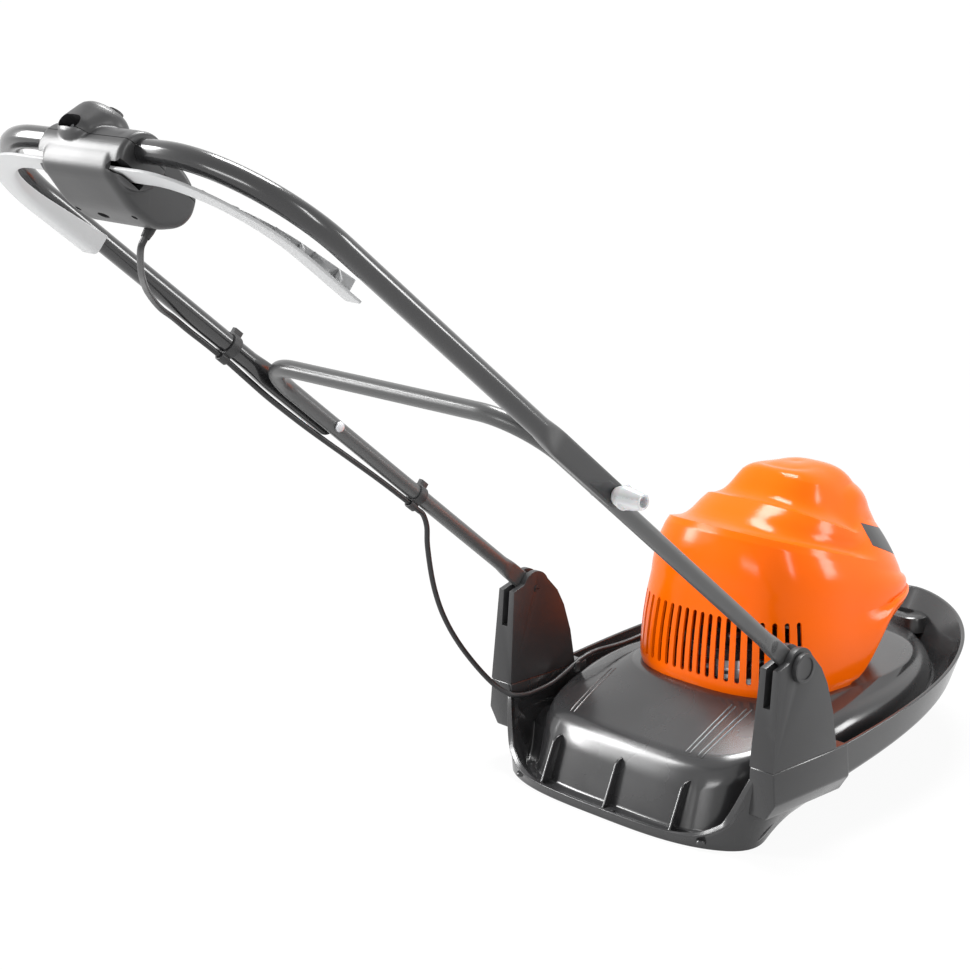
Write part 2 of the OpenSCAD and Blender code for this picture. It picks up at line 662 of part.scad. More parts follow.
// Bearing bridge across the motor's top, on two studs beside the stator
bridge_stud_x = stator_r + 7;
module bearing_bridge() {
  color(dark) translate([0, drive_centres, 0]) difference() {
    union() {
      translate([-bridge_stud_x - 7, -12, bridge_z]) cube([2 * bridge_stud_x + 14, 24, bridge_t]);
      translate([0, 0, bridge_z - bearing_h - 2]) cylinder(h = bearing_h + 3, r = bearing_or + 4);
      for (x = [-1, 1])
        translate([x * bridge_stud_x, 0, mount_z + mount_t]) cylinder(h = bridge_z - mount_z - mount_t + 1, r = 5);
    }
    translate([0, 0, bridge_z - bearing_h - 3]) cylinder(h = bearing_h + 1, r = bearing_or + seat_gap);
    translate([0, 0, bridge_z - 5]) cylinder(h = 20, r = bearing_or - 4);
  }
}
module motor_bearings() {
  color(steel) translate([0, drive_centres, 0]) {
    translate([0, 0, mount_z + mount_t]) ring(bearing_h, bearing_or, motor_shaft_r + run_gap);
    translate([0, 0, bridge_z - bearing_h - 2.05]) ring(bearing_h, bearing_or, motor_shaft_r + run_gap);
  }
}

// Brush holders either side of the commutator, hung under the bridge
commutator_r = 14;
commutator_h = 12;
commutator_z = stator_z + stator_h + 1;
module brush_holders() {
  color(black) translate([0, drive_centres, 0]) for (a = [0, 180]) rotate([0, 0, a])
    translate([commutator_r + 0.4, -5, commutator_z]) {
      cube([30, 10, 10]);
      translate([14, 1, 0]) cube([10, 8, bridge_z - commutator_z]);
    }
}
module suppressor() {
  color(orange) translate([-mount_half + 1, drive_centres + 42, mount_z + mount_t]) cube([13, 13, 26]);
}

// Belt round both pulleys
belt_t = 3;
belt_gap = 0.3;
belt_steps = 24;
function belt_arc(y, r, from, to) =
  [for (i = [0:belt_steps]) let (w = from + (to - from) * i / belt_steps) [r * cos(w), y + r * sin(w)]];
module belt_outline(grow) {
  r1 = driven_r + belt_gap + grow;
  r2 = motor_pulley_r + belt_gap + grow;
  lean = asin((r1 - r2) / drive_centres);
  polygon(concat(
    belt_arc(drive_centres, r2, lean, 180 - lean),
    belt_arc(0, r1, 180 - lean, 360 + lean)
  ));
}
module drive_belt() {
  color(black) translate([0, 0, pulley_z + 3]) linear_extrude(pulley_h - 6) difference() {
    belt_outline(belt_t);
    belt_outline(0);
  }
}

// Spindle housing: a flange on the plate with air holes, and a barrel through it
flange_r = 58;
flange_t = 6;
barrel_low_z = plate_z - 36;
barrel_high_z = plate_z + 22;
barrel_r = bearing_or + 6;
module spindle_housing() {
  color(steel) difference() {
    union() {
      translate([0, 0, plate_z]) cylinder(h = flange_t, r = flange_r);
      translate([0, 0, barrel_low_z]) cylinder(h = barrel_high_z - barrel_low_z, r = barrel_r);
    }
    for (a = [0:60:300]) rotate([0, 0, a]) translate([34, 0, plate_z - 1]) cylinder(h = flange_t + 2, r = 8);
    translate([0, 0, barrel_low_z - 1]) cylinder(h = bearing_h + 1, r = bearing_or + seat_gap);
    translate([0, 0, barrel_high_z - bearing_h]) cylinder(h = bearing_h + 1, r = bearing_or + seat_gap);
    translate([0, 0, barrel_low_z - 1]) cylinder(h = 80, r = bearing_or - 4);
  }
}
module spindle_bearings() {
  color(steel) {
    translate([0, 0, barrel_low_z]) ring(bearing_h, bearing_or, spindle_r + run_gap);
    translate([0, 0, barrel_high_z - bearing_h]) ring(bearing_h, bearing_or, spindle_r + run_gap);
  }
}

// Rotor of the motor
motor_shaft_low_z = pulley_z - 4;
motor_shaft_high_z = fan_z + 16;
module motor_shaft() {
  color(steel) translate([0, drive_centres, motor_shaft_low_z])
    cylinder(h = motor_shaft_high_z - motor_shaft_low_z, r = motor_shaft_r);
}
module armature() {
  color(copper) translate([0, drive_centres, stator_z]) ring(stator_h, armature_r, motor_shaft_r + seat_gap);
}
module commutator() {
  color(copper) translate([0, drive_centres, commutator_z]) ring(commutator_h, commutator_r, motor_shaft_r + seat_gap);
}
module pulley(r, bore) {
  difference() {
    union() {
      cylinder(h = pulley_h, r = r);
      cylinder(h = 2, r = r + 2.4);
      translate([0, 0, pulley_h - 2]) cylinder(h = 2, r = r + 2.4);
    }
    translate([0, 0, -1]) cylinder(h = pulley_h + 2, r = bore);
  }
}
module motor_pulley() {
  color(steel) translate([0, drive_centres, pulley_z]) pulley(motor_pulley_r, motor_shaft_r + seat_gap);
}
fan_r = 36;
module cooling_fan() {
  color(black) translate([0, drive_centres, fan_z]) difference() {
    union() {
      cylinder(h = 3, r = fan_r);
      cylinder(h = 12, r = 10);
      for (a = [0:45:315]) rotate([0, 0, a]) translate([8, -1, 2.9]) cube([fan_r - 10, 2, 9]);
    }
    translate([0, 0, -1]) cylinder(h = 20, r = motor_shaft_r + seat_gap);
  }
}

// Cutter: spindle, pulley, impeller, spacer, blade and bolt
spindle_high_z = pulley_z + pulley_h + 3;
bolt_r = 5;
blade_hole_r = spindle_r + seat_gap;
module spindle_shaft() {
  color(steel) difference() {
    translate([0, 0, blade_z]) cylinder(h = spindle_high_z - blade_z, r = spindle_r);
    translate([0, 0, blade_z - 1]) cylinder(h = 26, r = bolt_r + seat_gap);
  }
}
module driven_pulley() {
  color(dark) translate([0, 0, pulley_z]) difference() {
    pulley(driven_r, spindle_r + seat_gap);
    for (a = [0:60:300]) rotate([0, 0, a]) translate([30, 0, -1]) cylinder(h = pulley_h + 2, r = 9);
  }
}
vane_h = 18;
module impeller() {
  color(orange) translate([0, 0, impeller_z]) difference() {
    union() {
      cylinder(h = 3, r = impeller_r);
      translate([0, 0, -vane_h]) cylinder(h = vane_h + 3, r = 20);
      for (a = [0:45:315]) rotate([0, 0, a]) translate([18, -1.5, -vane_h]) cube([impeller_r - 22, 3, vane_h + 0.1]);
    }
    translate([0, 0, -vane_h - 1]) cylinder(h = vane_h + 10, r = spindle_r + seat_gap);
  }
}
module blade_spacer() {
  color(dark) translate([0, 0, blade_z + blade_t]) ring(impeller_z - vane_h - blade_z - blade_t, 18, spindle_r + seat_gap);
}
module cutting_blade() {
  color(steel) translate([0, 0, blade_z]) difference() {
    union() {
      translate([-blade_len / 2, -blade_w / 2 + 4, 0]) cube([blade_len, blade_w - 8, blade_t]);
      cylinder(h = blade_t, r = blade_w / 2);
      for (a = [0, 180]) rotate([0, 0, a]) translate([0, 0, 0])
        linear_extrude(blade_t) polygon([
          [blade_len / 2 - 60, blade_w / 2 - 4], [blade_len / 2, blade_w / 2 - 4],
          [blade_len / 2 - 4, blade_w / 2], [blade_len / 2 - 54, blade_w / 2]
        ]);
    }
    translate([0, 0, -1]) cylinder(h = blade_t + 2, r = blade_hole_r);
  }
}
bolt_washer_r = 16;
module blade_bolt() {
  color(steel) difference() {
    union() {
      translate([0, 0, blade_z - 3]) cylinder(h = 3 - seat_gap, r = bolt_washer_r);
      translate([0, 0, blade_z - 9]) cylinder(h = 7, r = 9.5, $fn = 6);
      translate([0, 0, blade_z - 4]) cylinder(h = 26, r = bolt_r);
    }
  }
}

// A tube bent into a U: legs at x = half_w from s0 up to a crossbar at s1
module u_bend(half_w, s0, s1, r, d) {
  mirrored_pair() {
    translate([half_w, -s0, 0]) rotate([90, 0, 0]) cylinder(h = s1 - r - s0, d = d);
    translate([half_w - r, r - s1, 0]) rotate([0, 0, -90]) rotate_extrude(angle = 90)
      translate([r, 0]) circle(d = d);
  }
  translate([r - half_w, -s1, 0]) rotate([0, 90, 0]) cylinder(h = 2 * (half_w - r), d = d);
}
// Flattened end of a tube: a plate of thickness t and width w from a round end at s0 up to s1
module flat_end(x, t, w, s0, s1) {
  cross_rod(x - t / 2, x + t / 2, s0, 0, w / 2);
  translate([x - t / 2, -s1, -w / 2]) cube([t, s1 - s0, w]);
}

// Lower handle tube, flattened at the pivots
lower_flat_w = 22;
lower_flat_s = 52;
drain_d = 3;
module lower_handle_tube() {
  color(grey) handle_frame() difference() {
    union() {
      u_bend(leg_x, lower_flat_s - flat_lap, crossbar_s, lower_bend_r, lower_d);
      mirrored_pair() flat_end(leg_x, lower_flat_t, lower_flat_w, 0, lower_flat_s);
    }
    u_bend(leg_x, lower_flat_s + flat_lap, crossbar_s, lower_bend_r, lower_d - 2 * tube_wall);
    mirrored_pair() {
      cross_rod(leg_x - 20, leg_x + 20, 0, 0, pivot_pin_d / 2 + run_gap);
      cross_rod(leg_x - 20, leg_x + 20, fold_s, 0, fold_bolt_d / 2 + seat_gap);
    }
  }
}
// Fold bolts: round heads inside, shanks through both tubes into the knobs
bolt_out = 22;
module fold_bolts() {
  color(steel) handle_frame() mirrored_pair() {
    cross_rod(leg_x - lower_d / 2 - bolt_head_t, leg_x - lower_d / 2 - seat_gap, fold_s, 0, 6);
    cross_rod(leg_x - lower_d / 2 - 1, knob_x0 + bolt_out, fold_s, 0, fold_bolt_d / 2);
  }
}

// Upper handle tube, flattened beside the lower tube
upper_flat_w = 26;
module upper_handle_tube() {
  color(grey) handle_frame() difference() {
    union() {
      u_bend(arm_x, arm_flat_end_s - flat_lap, grip_s, upper_bend_r, upper_d);
      mirrored_pair() flat_end(arm_x, upper_flat_t, upper_flat_w, fold_s, arm_flat_end_s);
    }
    u_bend(arm_x, arm_flat_end_s + flat_lap, grip_s, upper_bend_r, upper_d - 2 * tube_wall);
    mirrored_pair() {
      cross_rod(arm_x - 20, arm_x + 20, fold_s, 0, fold_bolt_d / 2 + run_gap);
      translate([arm_x, -arm_flat_end_s - 30, -upper_d]) cylinder(h = upper_d, d = drain_d);
    }
  }
}

// Hand knob: a cone with grip flats, turning on its bolt
module hand_knob() {
  handle_frame() difference() {
    union() {
      translate([knob_x0, -fold_s, 0]) rotate([0, 90, 0]) cylinder(h = knob_len * 0.3, d1 = knob_d * 0.7, d2 = knob_d);
      translate([knob_x0 + knob_len * 0.3, -fold_s, 0]) rotate([0, 90, 0])
        cylinder(h = knob_len * 0.7, d1 = knob_d, d2 = knob_d * 0.62);
    }
    cross_rod(knob_x0 - 1, knob_x0 + bolt_out + 1, fold_s, 0, fold_bolt_d / 2 + run_gap);
    cross_rod(knob_x0 + bolt_out + 3, knob_x0 + knob_len + 1, fold_s, 0, knob_d * 0.2);
    for (s = [-1, 1])
      translate([knob_x0 + knob_len * 0.35, -fold_s - knob_d / 2, s > 0 ? knob_d * 0.36 : -knob_d * 0.86])
        cube([knob_len, knob_d, knob_d / 2]);
  }
}
module right_hand_knob() { color(pale) hand_knob(); }
module left_hand_knob() { color(pale) mirror([1, 0, 0]) hand_knob(); }

// Sections drawn towards their middle by a wall
function middle(p) = [for (i = [0:1]) (max([for (q = p) q[i]]) + min([for (q = p) q[i]])) / 2];
function drawn_in(p, w) = [for (q = p) q + w * unit(middle(p) - q) * 1.2];

// Upper half of the switch box, with collars and the domed inlet boss
inlet_w = 30;
inlet_h = 13;
inlet_n = 4;
inlet_depth = 13;
module boss_dome(grow) {
  translate([boss_x, -boss_s, 0]) {
    cylinder(h = boss_top_n - 11.9, r = boss_r + grow);
    translate([0, 0, boss_top_n - 12]) rotate_extrude() intersection() {
      translate([boss_r - 12, 0]) circle(r = 12 + grow);
      square([boss_r + grow + 1, 14 + grow]);
    }
    translate([0, 0, boss_top_n - 13]) cylinder(h = 13 + grow, r = boss_r - 12);
  }
}
module inlet_recess(grow, depth) {
  for (s = [-1, 1]) translate([boss_x + s * (inlet_w - inlet_h) / 2, -boss_s - boss_r - 3, inlet_n])
    rotate([-90, 0, 0]) cylinder(h = depth + 3, r = inlet_h / 2 + grow);
  translate([boss_x - (inlet_w - inlet_h) / 2, -boss_s - boss_r - 3, inlet_n - inlet_h / 2 - grow])
    cube([inlet_w - inlet_h, depth + 3, inlet_h + 2 * grow]);
}
tube_seat_r = upper_d / 2 + seat_gap;
module switch_box_upper() {
  color(dark) handle_frame() difference() {
    union() {
      difference() {
        union() {
          sn_prism(box_high, 10 - box_left, box_right - 10);
          cross_rod(-box_left, box_right, collar_s, collar_n, collar_r);
          boss_dome(0);
        }
        difference() {
          union() {
            sn_prism(drawn_in(box_high, box_wall), 12 - box_left + box_wall, box_right - 12 - box_wall);
            boss_dome(-box_wall);
          }
          cross_rod(-box_left, box_right, grip_s, 0, sleeve_r);
        }
      }
      intersection() {
        inlet_recess(box_wall, inlet_depth + box_wall);
        boss_dome(0);
      }
      translate([boss_x - 3, -button_s - 14, spring_seat_n - 7]) cube([6, 20, 7]);
    }
    inlet_recess(0, inlet_depth);
    translate([boss_x, -button_s, boss_top_n - 6]) cylinder(h = 20, d = button_d + 2 * run_gap);
    for (x = inlet_pin_x) inlet_pin(x, seat_gap);
    cross_rod(-box_left - 1, box_right + 1, grip_s, 0, tube_seat_r);
    translate([-100, -grip_s - 60, box_split_n - 60]) cube([200, 200, 60]);
  }
}
// Contact pins of the mains inlet, held in the recess's back wall
inlet_pin_x = [boss_x - 6, boss_x + 6];
inlet_pin_r = 2;
module inlet_pin(x, grow) {
  translate([x, -boss_s - boss_r + 6, inlet_n]) rotate([-90, 0, 0])
    cylinder(h = inlet_depth - 4.5, r = inlet_pin_r + grow);
}
module inlet_pins() {
  color(steel) handle_frame() for (x = inlet_pin_x) inlet_pin(x, 0);
}

// Lower half of the switch box
box_screw_places = [[-36, grip_s - 38], [50, grip_s - 38], [-36, grip_s - 60], [50, grip_s - 60]];
box_screw_r = 1.5;
module switch_box_lower() {
  color(dark) handle_frame() difference() {
    union() {
      difference() {
        union() {
          sn_prism(box_low, 10 - box_left, box_right - 10);
          cross_rod(-box_left, box_right, collar_s, collar_n, collar_r);
        }
        sn_prism(drawn_in(box_low, box_wall), 12 - box_left + box_wall, box_right - 12 - box_wall);
        translate([-100, -grip_s - 60, box_split_n - seat_gap]) cube([200, 200, 80]);
      }
      for (p = box_screw_places) translate([p.x, -p.y, -42.5]) cylinder(h = 42.3 + box_split_n, r = 5);
      for (s = [-1, 1]) lever_rib(s);
    }
    cross_rod(-box_left - 1, box_right + 1, grip_s, 0, tube_seat_r);
    for (x = [-box_left - 1, box_right - 15.5]) translate([x, -grip_s - 16.5, lever_n - 6])
      cube([16.5, 33, 11]);
    for (p = box_screw_places) translate([p.x, -p.y, -60]) {
      cylinder(h = 80, r = box_screw_r + seat_gap);
      cylinder(h = 23, r = 3.2);
    }
    translate([strain_x, -strain_s, strain_n - 40]) cylinder(h = 60, r = strain_r + seat_gap);
    for (s = [-1, 1]) cross_rod(s * lever_rod_half - 6, s * lever_rod_half + 6, lever_s, lever_n, lever_rod_r + seat_gap);
  }
}
module switch_box_screws() {
  color(steel) handle_frame() for (p = box_screw_places) translate([p.x, -p.y, 0]) {
    translate([0, 0, -39]) cylinder(h = 38 + box_split_n - 0.5, r = box_screw_r);
    translate([0, 0, -40]) cylinder(h = 3 - seat_gap, r = 3);
  }
}

// Switch inside the box, worked by the lever's finger
module microswitch() {
  color(black) handle_frame() translate([-13, -grip_s + 36, -40.4]) cube([26, 22, 14]);
}

// Ribs of the lower half that hold the lever's rod, in windows of the lever
rib_half_t = 3;
module lever_rib(s) {
  translate([s * lever_rod_half - rib_half_t, -lever_s - 6, -42]) cube([2 * rib_half_t, 12, lever_n + 48]);
}

// Rod that the lever turns on, held at its ends in the lower half
lever_rod_half = 36;
module lever_pivot_rod() {
  color(steel) handle_frame() cross_rod(-lever_rod_half - 4, lever_rod_half + 4, lever_s, lever_n, lever_rod_r);
}

// Squeeze lever: a U-shaped channel under the loop, on a hub inside the box
module lever_outline(half_w, s1, r) {
  difference() {
    union() {
      translate([-half_w, -s1 + r]) square([2 * half_w, s1 - r - lever_end_s]);
      translate([-half_w + r, -s1]) square([2 * (half_w - r), r + 1]);
      for (s = [-1, 1]) translate([s * (half_w - r), -s1 + r]) circle(r = r);
    }
  }
}
module lever_band(w) {
  difference() {
    lever_outline(lever_x + w / 2, grip_s + w / 2, lever_bend_r + w / 2);
    lever_outline(lever_x - w / 2, grip_s - w / 2, lever_bend_r - w / 2);
    translate([-300, -lever_end_s - 0.1]) square([600, 400]);
  }
}
lever_skin = 3;
module lever_hollow() {
  difference() {
    lever_outline(lever_x + lever_w, grip_s + lever_w, lever_bend_r + lever_w);
    lever_outline(lever_x - lever_w / 2 + lever_skin, grip_s - lever_w / 2 + lever_skin, lever_bend_r - lever_w / 2 + lever_skin);
    translate([-300, -lever_end_s - 0.1]) square([600, 400]);
    translate([-lever_rod_half - 20, -grip_s - 2 * lever_w]) square([2 * lever_rod_half + 40, 4 * lever_w]);
  }
}
lever_end_h = 22;
module lever_wall() {
  intersection() {
    linear_extrude(lever_end_h + 1) difference() {
      lever_outline(lever_x - lever_w / 2 + lever_skin, grip_s - lever_w / 2 + lever_skin, lever_bend_r - lever_w / 2 + lever_skin);
      lever_outline(lever_x - lever_w / 2, grip_s - lever_w / 2, lever_bend_r - lever_w / 2);
      translate([-300, -lever_end_s - 0.1]) square([600, 400]);
    }
    translate([-300, 0, 0]) rotate([90, 0, 90]) linear_extrude(600) polygon([
      [-grip_s - 40, 0], [-lever_end_s + 1, 0], [-lever_end_s + 1, lever_end_h],
      [-grip_s + lever_w / 2 + 4, lever_t], [-grip_s - 40, lever_t]
    ]);
  }
}
module squeeze_lever() {
  color(pale) handle_frame() translate([0, -lever_s, lever_n]) rotate([lever_tilt, 0, 0])
    difference() {
      union() {
        translate([0, lever_s, -lever_t / 2]) difference() {
          linear_extrude(lever_t) lever_band(lever_w);
          translate([0, 0, lever_skin]) linear_extrude(lever_t) lever_hollow();
        }
        translate([0, lever_s, -lever_t / 2]) lever_wall();
        rotate([0, 90, 0])
          translate([0, 0, 4 - lever_rod_half]) cylinder(h = 2 * lever_rod_half - 8, r = lever_hub_r);
        translate([2, 4, -3]) cube([10, 20, 6]);
      }
      rotate([0, 90, 0]) translate([0, 0, -100]) cylinder(h = 200, r = lever_rod_r + run_gap);
      for (s = [-1, 1]) translate([s * lever_rod_half - 4, -8, -15]) cube([8, 60, 30]);
    }
}

// Lock-off button in the top of the boss, with its spring
button_proud = 5;
button_s = boss_s - 6;
spring_seat_n = 19;
button_flange_t = 2.5;
button_flange_n = boss_top_n - box_wall - 0.3 - button_flange_t;
module lock_button() {
  color(grey) handle_frame() translate([boss_x, -button_s, 0]) difference() {
    union() {
      translate([0, 0, button_flange_n]) cylinder(h = boss_top_n + button_proud - button_flange_n, d = button_d);
      translate([0, 0, button_flange_n]) cylinder(h = button_flange_t, d = button_d + 4);
    }
    translate([0, 0, boss_top_n + button_proud - 1]) cylinder(h = 5, d = button_d - 6);
  }
}
button_spring_low = spring_seat_n + 0.1;
module button_spring() {
  color(steel) handle_frame() translate([boss_x, -button_s, button_spring_low])
    ring(button_flange_n - 0.1 - button_spring_low, 5, 3.8);
}

// Strain relief where the lead leaves the box
strain_x = 33;
strain_s = grip_s - 69;
strain_n = -28;
strain_r = 5;
module box_strain_relief() {
  color(black) handle_frame() translate([strain_x, -strain_s, strain_n]) difference() {
    union() {
      translate([0, 0, -14]) cylinder(h = 14, r = strain_r);
      translate([0, 0, -20]) cylinder(h = 7, r1 = lead_d / 2 + 1, r2 = strain_r);
    }
    translate([0, 0, -40]) cylinder(h = 60, r = lead_d / 2 + lead_gap);
  }
}

// Clips that hold the lead to the tubes
clip_w = 12;
module lead_clip(x, s, d) {
  handle_frame() difference() {
    union() {
      translate([x, -s - clip_w / 2, 0]) rotate([-90, 0, 0]) cylinder(h = clip_w, d = d + 5);
      translate([x, -s - clip_w / 2, -d / 2 - lead_d / 2 - clip_wall]) rotate([-90, 0, 0])
        cylinder(h = clip_w, d = lead_d + 5);
      translate([x - 3, -s - clip_w / 2, d / 2]) cube([6, clip_w, 8]);
    }
    translate([x, -s - clip_w, 0]) rotate([-90, 0, 0]) cylinder(h = 2 * clip_w, d = d + 2 * seat_gap);
    translate([x, -s - clip_w, -d / 2 - lead_d / 2 - clip_wall]) rotate([-90, 0, 0])
      cylinder(h = 2 * clip_w, d = lead_d + 2 * lead_gap);
  }
}
upper_clip_s = 570;
lower_clip_s = 240;
module upper_lead_clip() { color(black) lead_clip(-arm_x, upper_clip_s, upper_d); }
module lower_lead_clip() { color(black) lead_clip(-leg_x, lower_clip_s, lower_d); }

// Hook on the inner cheek of the left bracket
hook_y = -98;
hook_z = 100.6;
hook_reach = 18.85;
hook_w = 8;
module lead_hook() {
  color(grey) translate([-slot_x + seat_half + 0.35, hook_y - hook_w / 2, hook_z]) {
    cube([hook_reach, hook_w, 3]);
    translate([hook_reach - 2.5, 0, 0]) cube([2.5, hook_w, 13]);
  }
}

// Lead stretches: one tube swept along each route
lead_between = 2;
function curve_at(p, i, t) =
  let (a = p[max(i - 1, 0)], b = p[i], c = p[i + 1], d = p[min(i + 2, len(p) - 1)])
  0.5 * ((2 * b) + (c - a) * t + (2 * a - 5 * b + 4 * c - d) * t * t + (3 * b - a - 3 * c + d) * t * t * t);
function curve(p, n) =
  concat([for (i = [0:len(p) - 2]) for (k = [0:n - 1]) curve_at(p, i, k / n)], [p[len(p) - 1]]);
function heading(p, i) = unit(p[min(i + 1, len(p) - 1)] - p[max(i - 1, 0)]);
// Side vectors carried along the route without twist
function squared(u, t) = unit(u - (u * t) * t);
function sides(c) =
  [for (i = 0, u = squared([0.31, 0.2, 0.93], heading(c, 0)); i < len(c);
        i = i + 1, u = squared(u, heading(c, min(i, len(c) - 1)))) u];
module lead(route, n) {
  c = curve(route, n);
  w = sides(c);
  m = lead_sides;
  pts = [
    for (i = [0:len(c) - 1]) let (u = w[i], v = cross(u, heading(c, i)))
      for (k = [0:m - 1]) c[i] + (u * cos(k * 360 / m) + v * sin(k * 360 / m)) * lead_d / 2
  ];
  last = len(c) - 1;
  faces = concat(
    [for (i = [0:last - 1]) each band(i, i + 1, m)],
    [for (k = [1:m - 2]) [0, k + 1, k]],
    [for (k = [1:m - 2]) [last * m, last * m + k, last * m + k + 1]]
  );
  color(black) polyhedron(pts, faces, convexity = 6);
}
module lead_upper() { lead(upper_route, lead_between); }
module lead_fold() { lead(fold_route, lead_between); }
module lead_loop() { lead(loop_route, 1); }
module lead_deck() { lead(deck_route, 1); }

deck_hood();
left_handle_bracket();
right_handle_bracket();
bracket_screws();
left_pivot_pin();
right_pivot_pin();
motor_cover();
cover_front_insert();
cover_screws();
motor_mount();
motor_stator();
field_coils();
brush_holders();
bearing_bridge();
motor_bearings();
suppressor();
drive_belt();
spindle_housing();
spindle_bearings();
cover_grommet();
lead_hook();
lead_deck();
lead_loop();
armature();
commutator();
motor_shaft();
motor_pulley();
cooling_fan();
spindle_shaft();
driven_pulley();
impeller();
cutting_blade();
blade_spacer();
blade_bolt();
lower_handle_tube();
fold_bolts();
lower_lead_clip();
lead_fold();
upper_handle_tube();
switch_box_upper();
switch_box_lower();
switch_box_screws();
microswitch();
inlet_pins();
lever_pivot_rod();
button_spring();
box_strain_relief();
upper_lead_clip();
lead_upper();
squeeze_lever();
lock_button();
left_hand_knob();
right_hand_knob();
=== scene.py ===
"""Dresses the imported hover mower: smooth shells, bent tubes, cords, finishes, light and camera."""

import logging
import math
from dataclasses import dataclass, field
from enum import Enum
from typing import Callable, Optional, Sequence

import bmesh
import bpy
import numpy as np
from mathutils import Matrix, Vector


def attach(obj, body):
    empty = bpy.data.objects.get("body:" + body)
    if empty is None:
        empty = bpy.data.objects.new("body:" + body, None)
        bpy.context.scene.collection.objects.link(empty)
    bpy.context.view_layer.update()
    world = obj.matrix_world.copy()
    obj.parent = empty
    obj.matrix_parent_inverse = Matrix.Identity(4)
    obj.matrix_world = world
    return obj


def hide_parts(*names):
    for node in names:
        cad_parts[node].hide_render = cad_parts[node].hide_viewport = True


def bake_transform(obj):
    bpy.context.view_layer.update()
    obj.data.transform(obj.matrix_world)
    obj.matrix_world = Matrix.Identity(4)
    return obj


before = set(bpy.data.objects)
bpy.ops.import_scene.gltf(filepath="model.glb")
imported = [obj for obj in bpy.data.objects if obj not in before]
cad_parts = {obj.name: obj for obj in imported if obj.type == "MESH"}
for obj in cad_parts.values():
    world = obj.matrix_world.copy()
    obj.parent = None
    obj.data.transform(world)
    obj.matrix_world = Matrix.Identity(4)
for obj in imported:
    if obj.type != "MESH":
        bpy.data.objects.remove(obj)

logging.basicConfig(level=logging.INFO, format="%(name)s: %(message)s")
LOG = logging.getLogger("hover_mower")
MM = 0.001
# Points closer than this are one, in metres
WELD = 2e-6
# The handle's legs, arms, fold, grip bar and pivot in mm, and its lean in radians
LEG_X = 205.5
ARM_X = 219.4
FOLD_S = 402.0
GRIP_S = 965.0
PIVOT_Y = -150.0
PIVOT_Z = 216.0
LEAN = math.radians(39.2)
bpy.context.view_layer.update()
Array = np.ndarray
Object = bpy.types.Object
Node = bpy.types.Node
Tree = bpy.types.NodeTree


class Body(str, Enum):
    """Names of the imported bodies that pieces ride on."""

    DECK = "deck"
    CUTTER = "cutter"
    LOWER = "lower_handle"
    UPPER = "upper_handle"
    LEVER = "lever"
    BUTTON = "button"
    LEFT_KNOB = "left_knob"
    RIGHT_KNOB = "right_knob"


class Cut(str, Enum):
    """Kinds of solid cut."""

    OUT = "DIFFERENCE"
    KEEP = "INTERSECT"
    JOIN = "UNION"


def feed(tree: Tree, target: Node, inputs: dict) -> None:
    """Sets a node's inputs, a socket by a link and all else as a value.

    Args:
        tree: the node's tree.
        target: the node.
        inputs: a socket or a value by the input's name or number.
    """
    for name, given in inputs.items():
        if isinstance(given, bpy.types.NodeSocket):
            tree.links.new(given, target.inputs[name])
        else:
            target.inputs[name].default_value = given


def add_node(tree: Tree, kind: str, inputs: Optional[dict] = None, **settings: object) -> Node:
    """Adds a node to a tree.

    Args:
        tree: the tree.
        kind: the node's type.
        inputs: what its inputs get, as for feed().
        settings: values of the node's own properties.

    Returns:
        The new node.
    """
    made = tree.nodes.new(kind)
    for name, value in settings.items():
        setattr(made, name, value)
    feed(tree, made, inputs or {})
    return made


def new_group(name: str, kind: str, inputs: Sequence[tuple], outputs: Sequence[tuple]) -> tuple:
    """Starts a node group with its sockets.

    Args:
        name: the group's name.
        kind: the kind of tree.
        inputs: (name, kind of socket) for each input, with a default after it where there is one.
        outputs: (name, kind of socket) for each output.

    Returns:
        The tree, the sockets that bring its inputs, and its output node.
    """
    tree = bpy.data.node_groups.new(name, kind)
    for label, socket, *default in inputs:
        made = tree.interface.new_socket(label, in_out="INPUT", socket_type="NodeSocket" + socket)
        if default:
            made.default_value = default[0]
    for label, socket in outputs:
        tree.interface.new_socket(label, in_out="OUTPUT", socket_type="NodeSocket" + socket)
    return tree, tree.nodes.new("NodeGroupInput").outputs, tree.nodes.new("NodeGroupOutput")


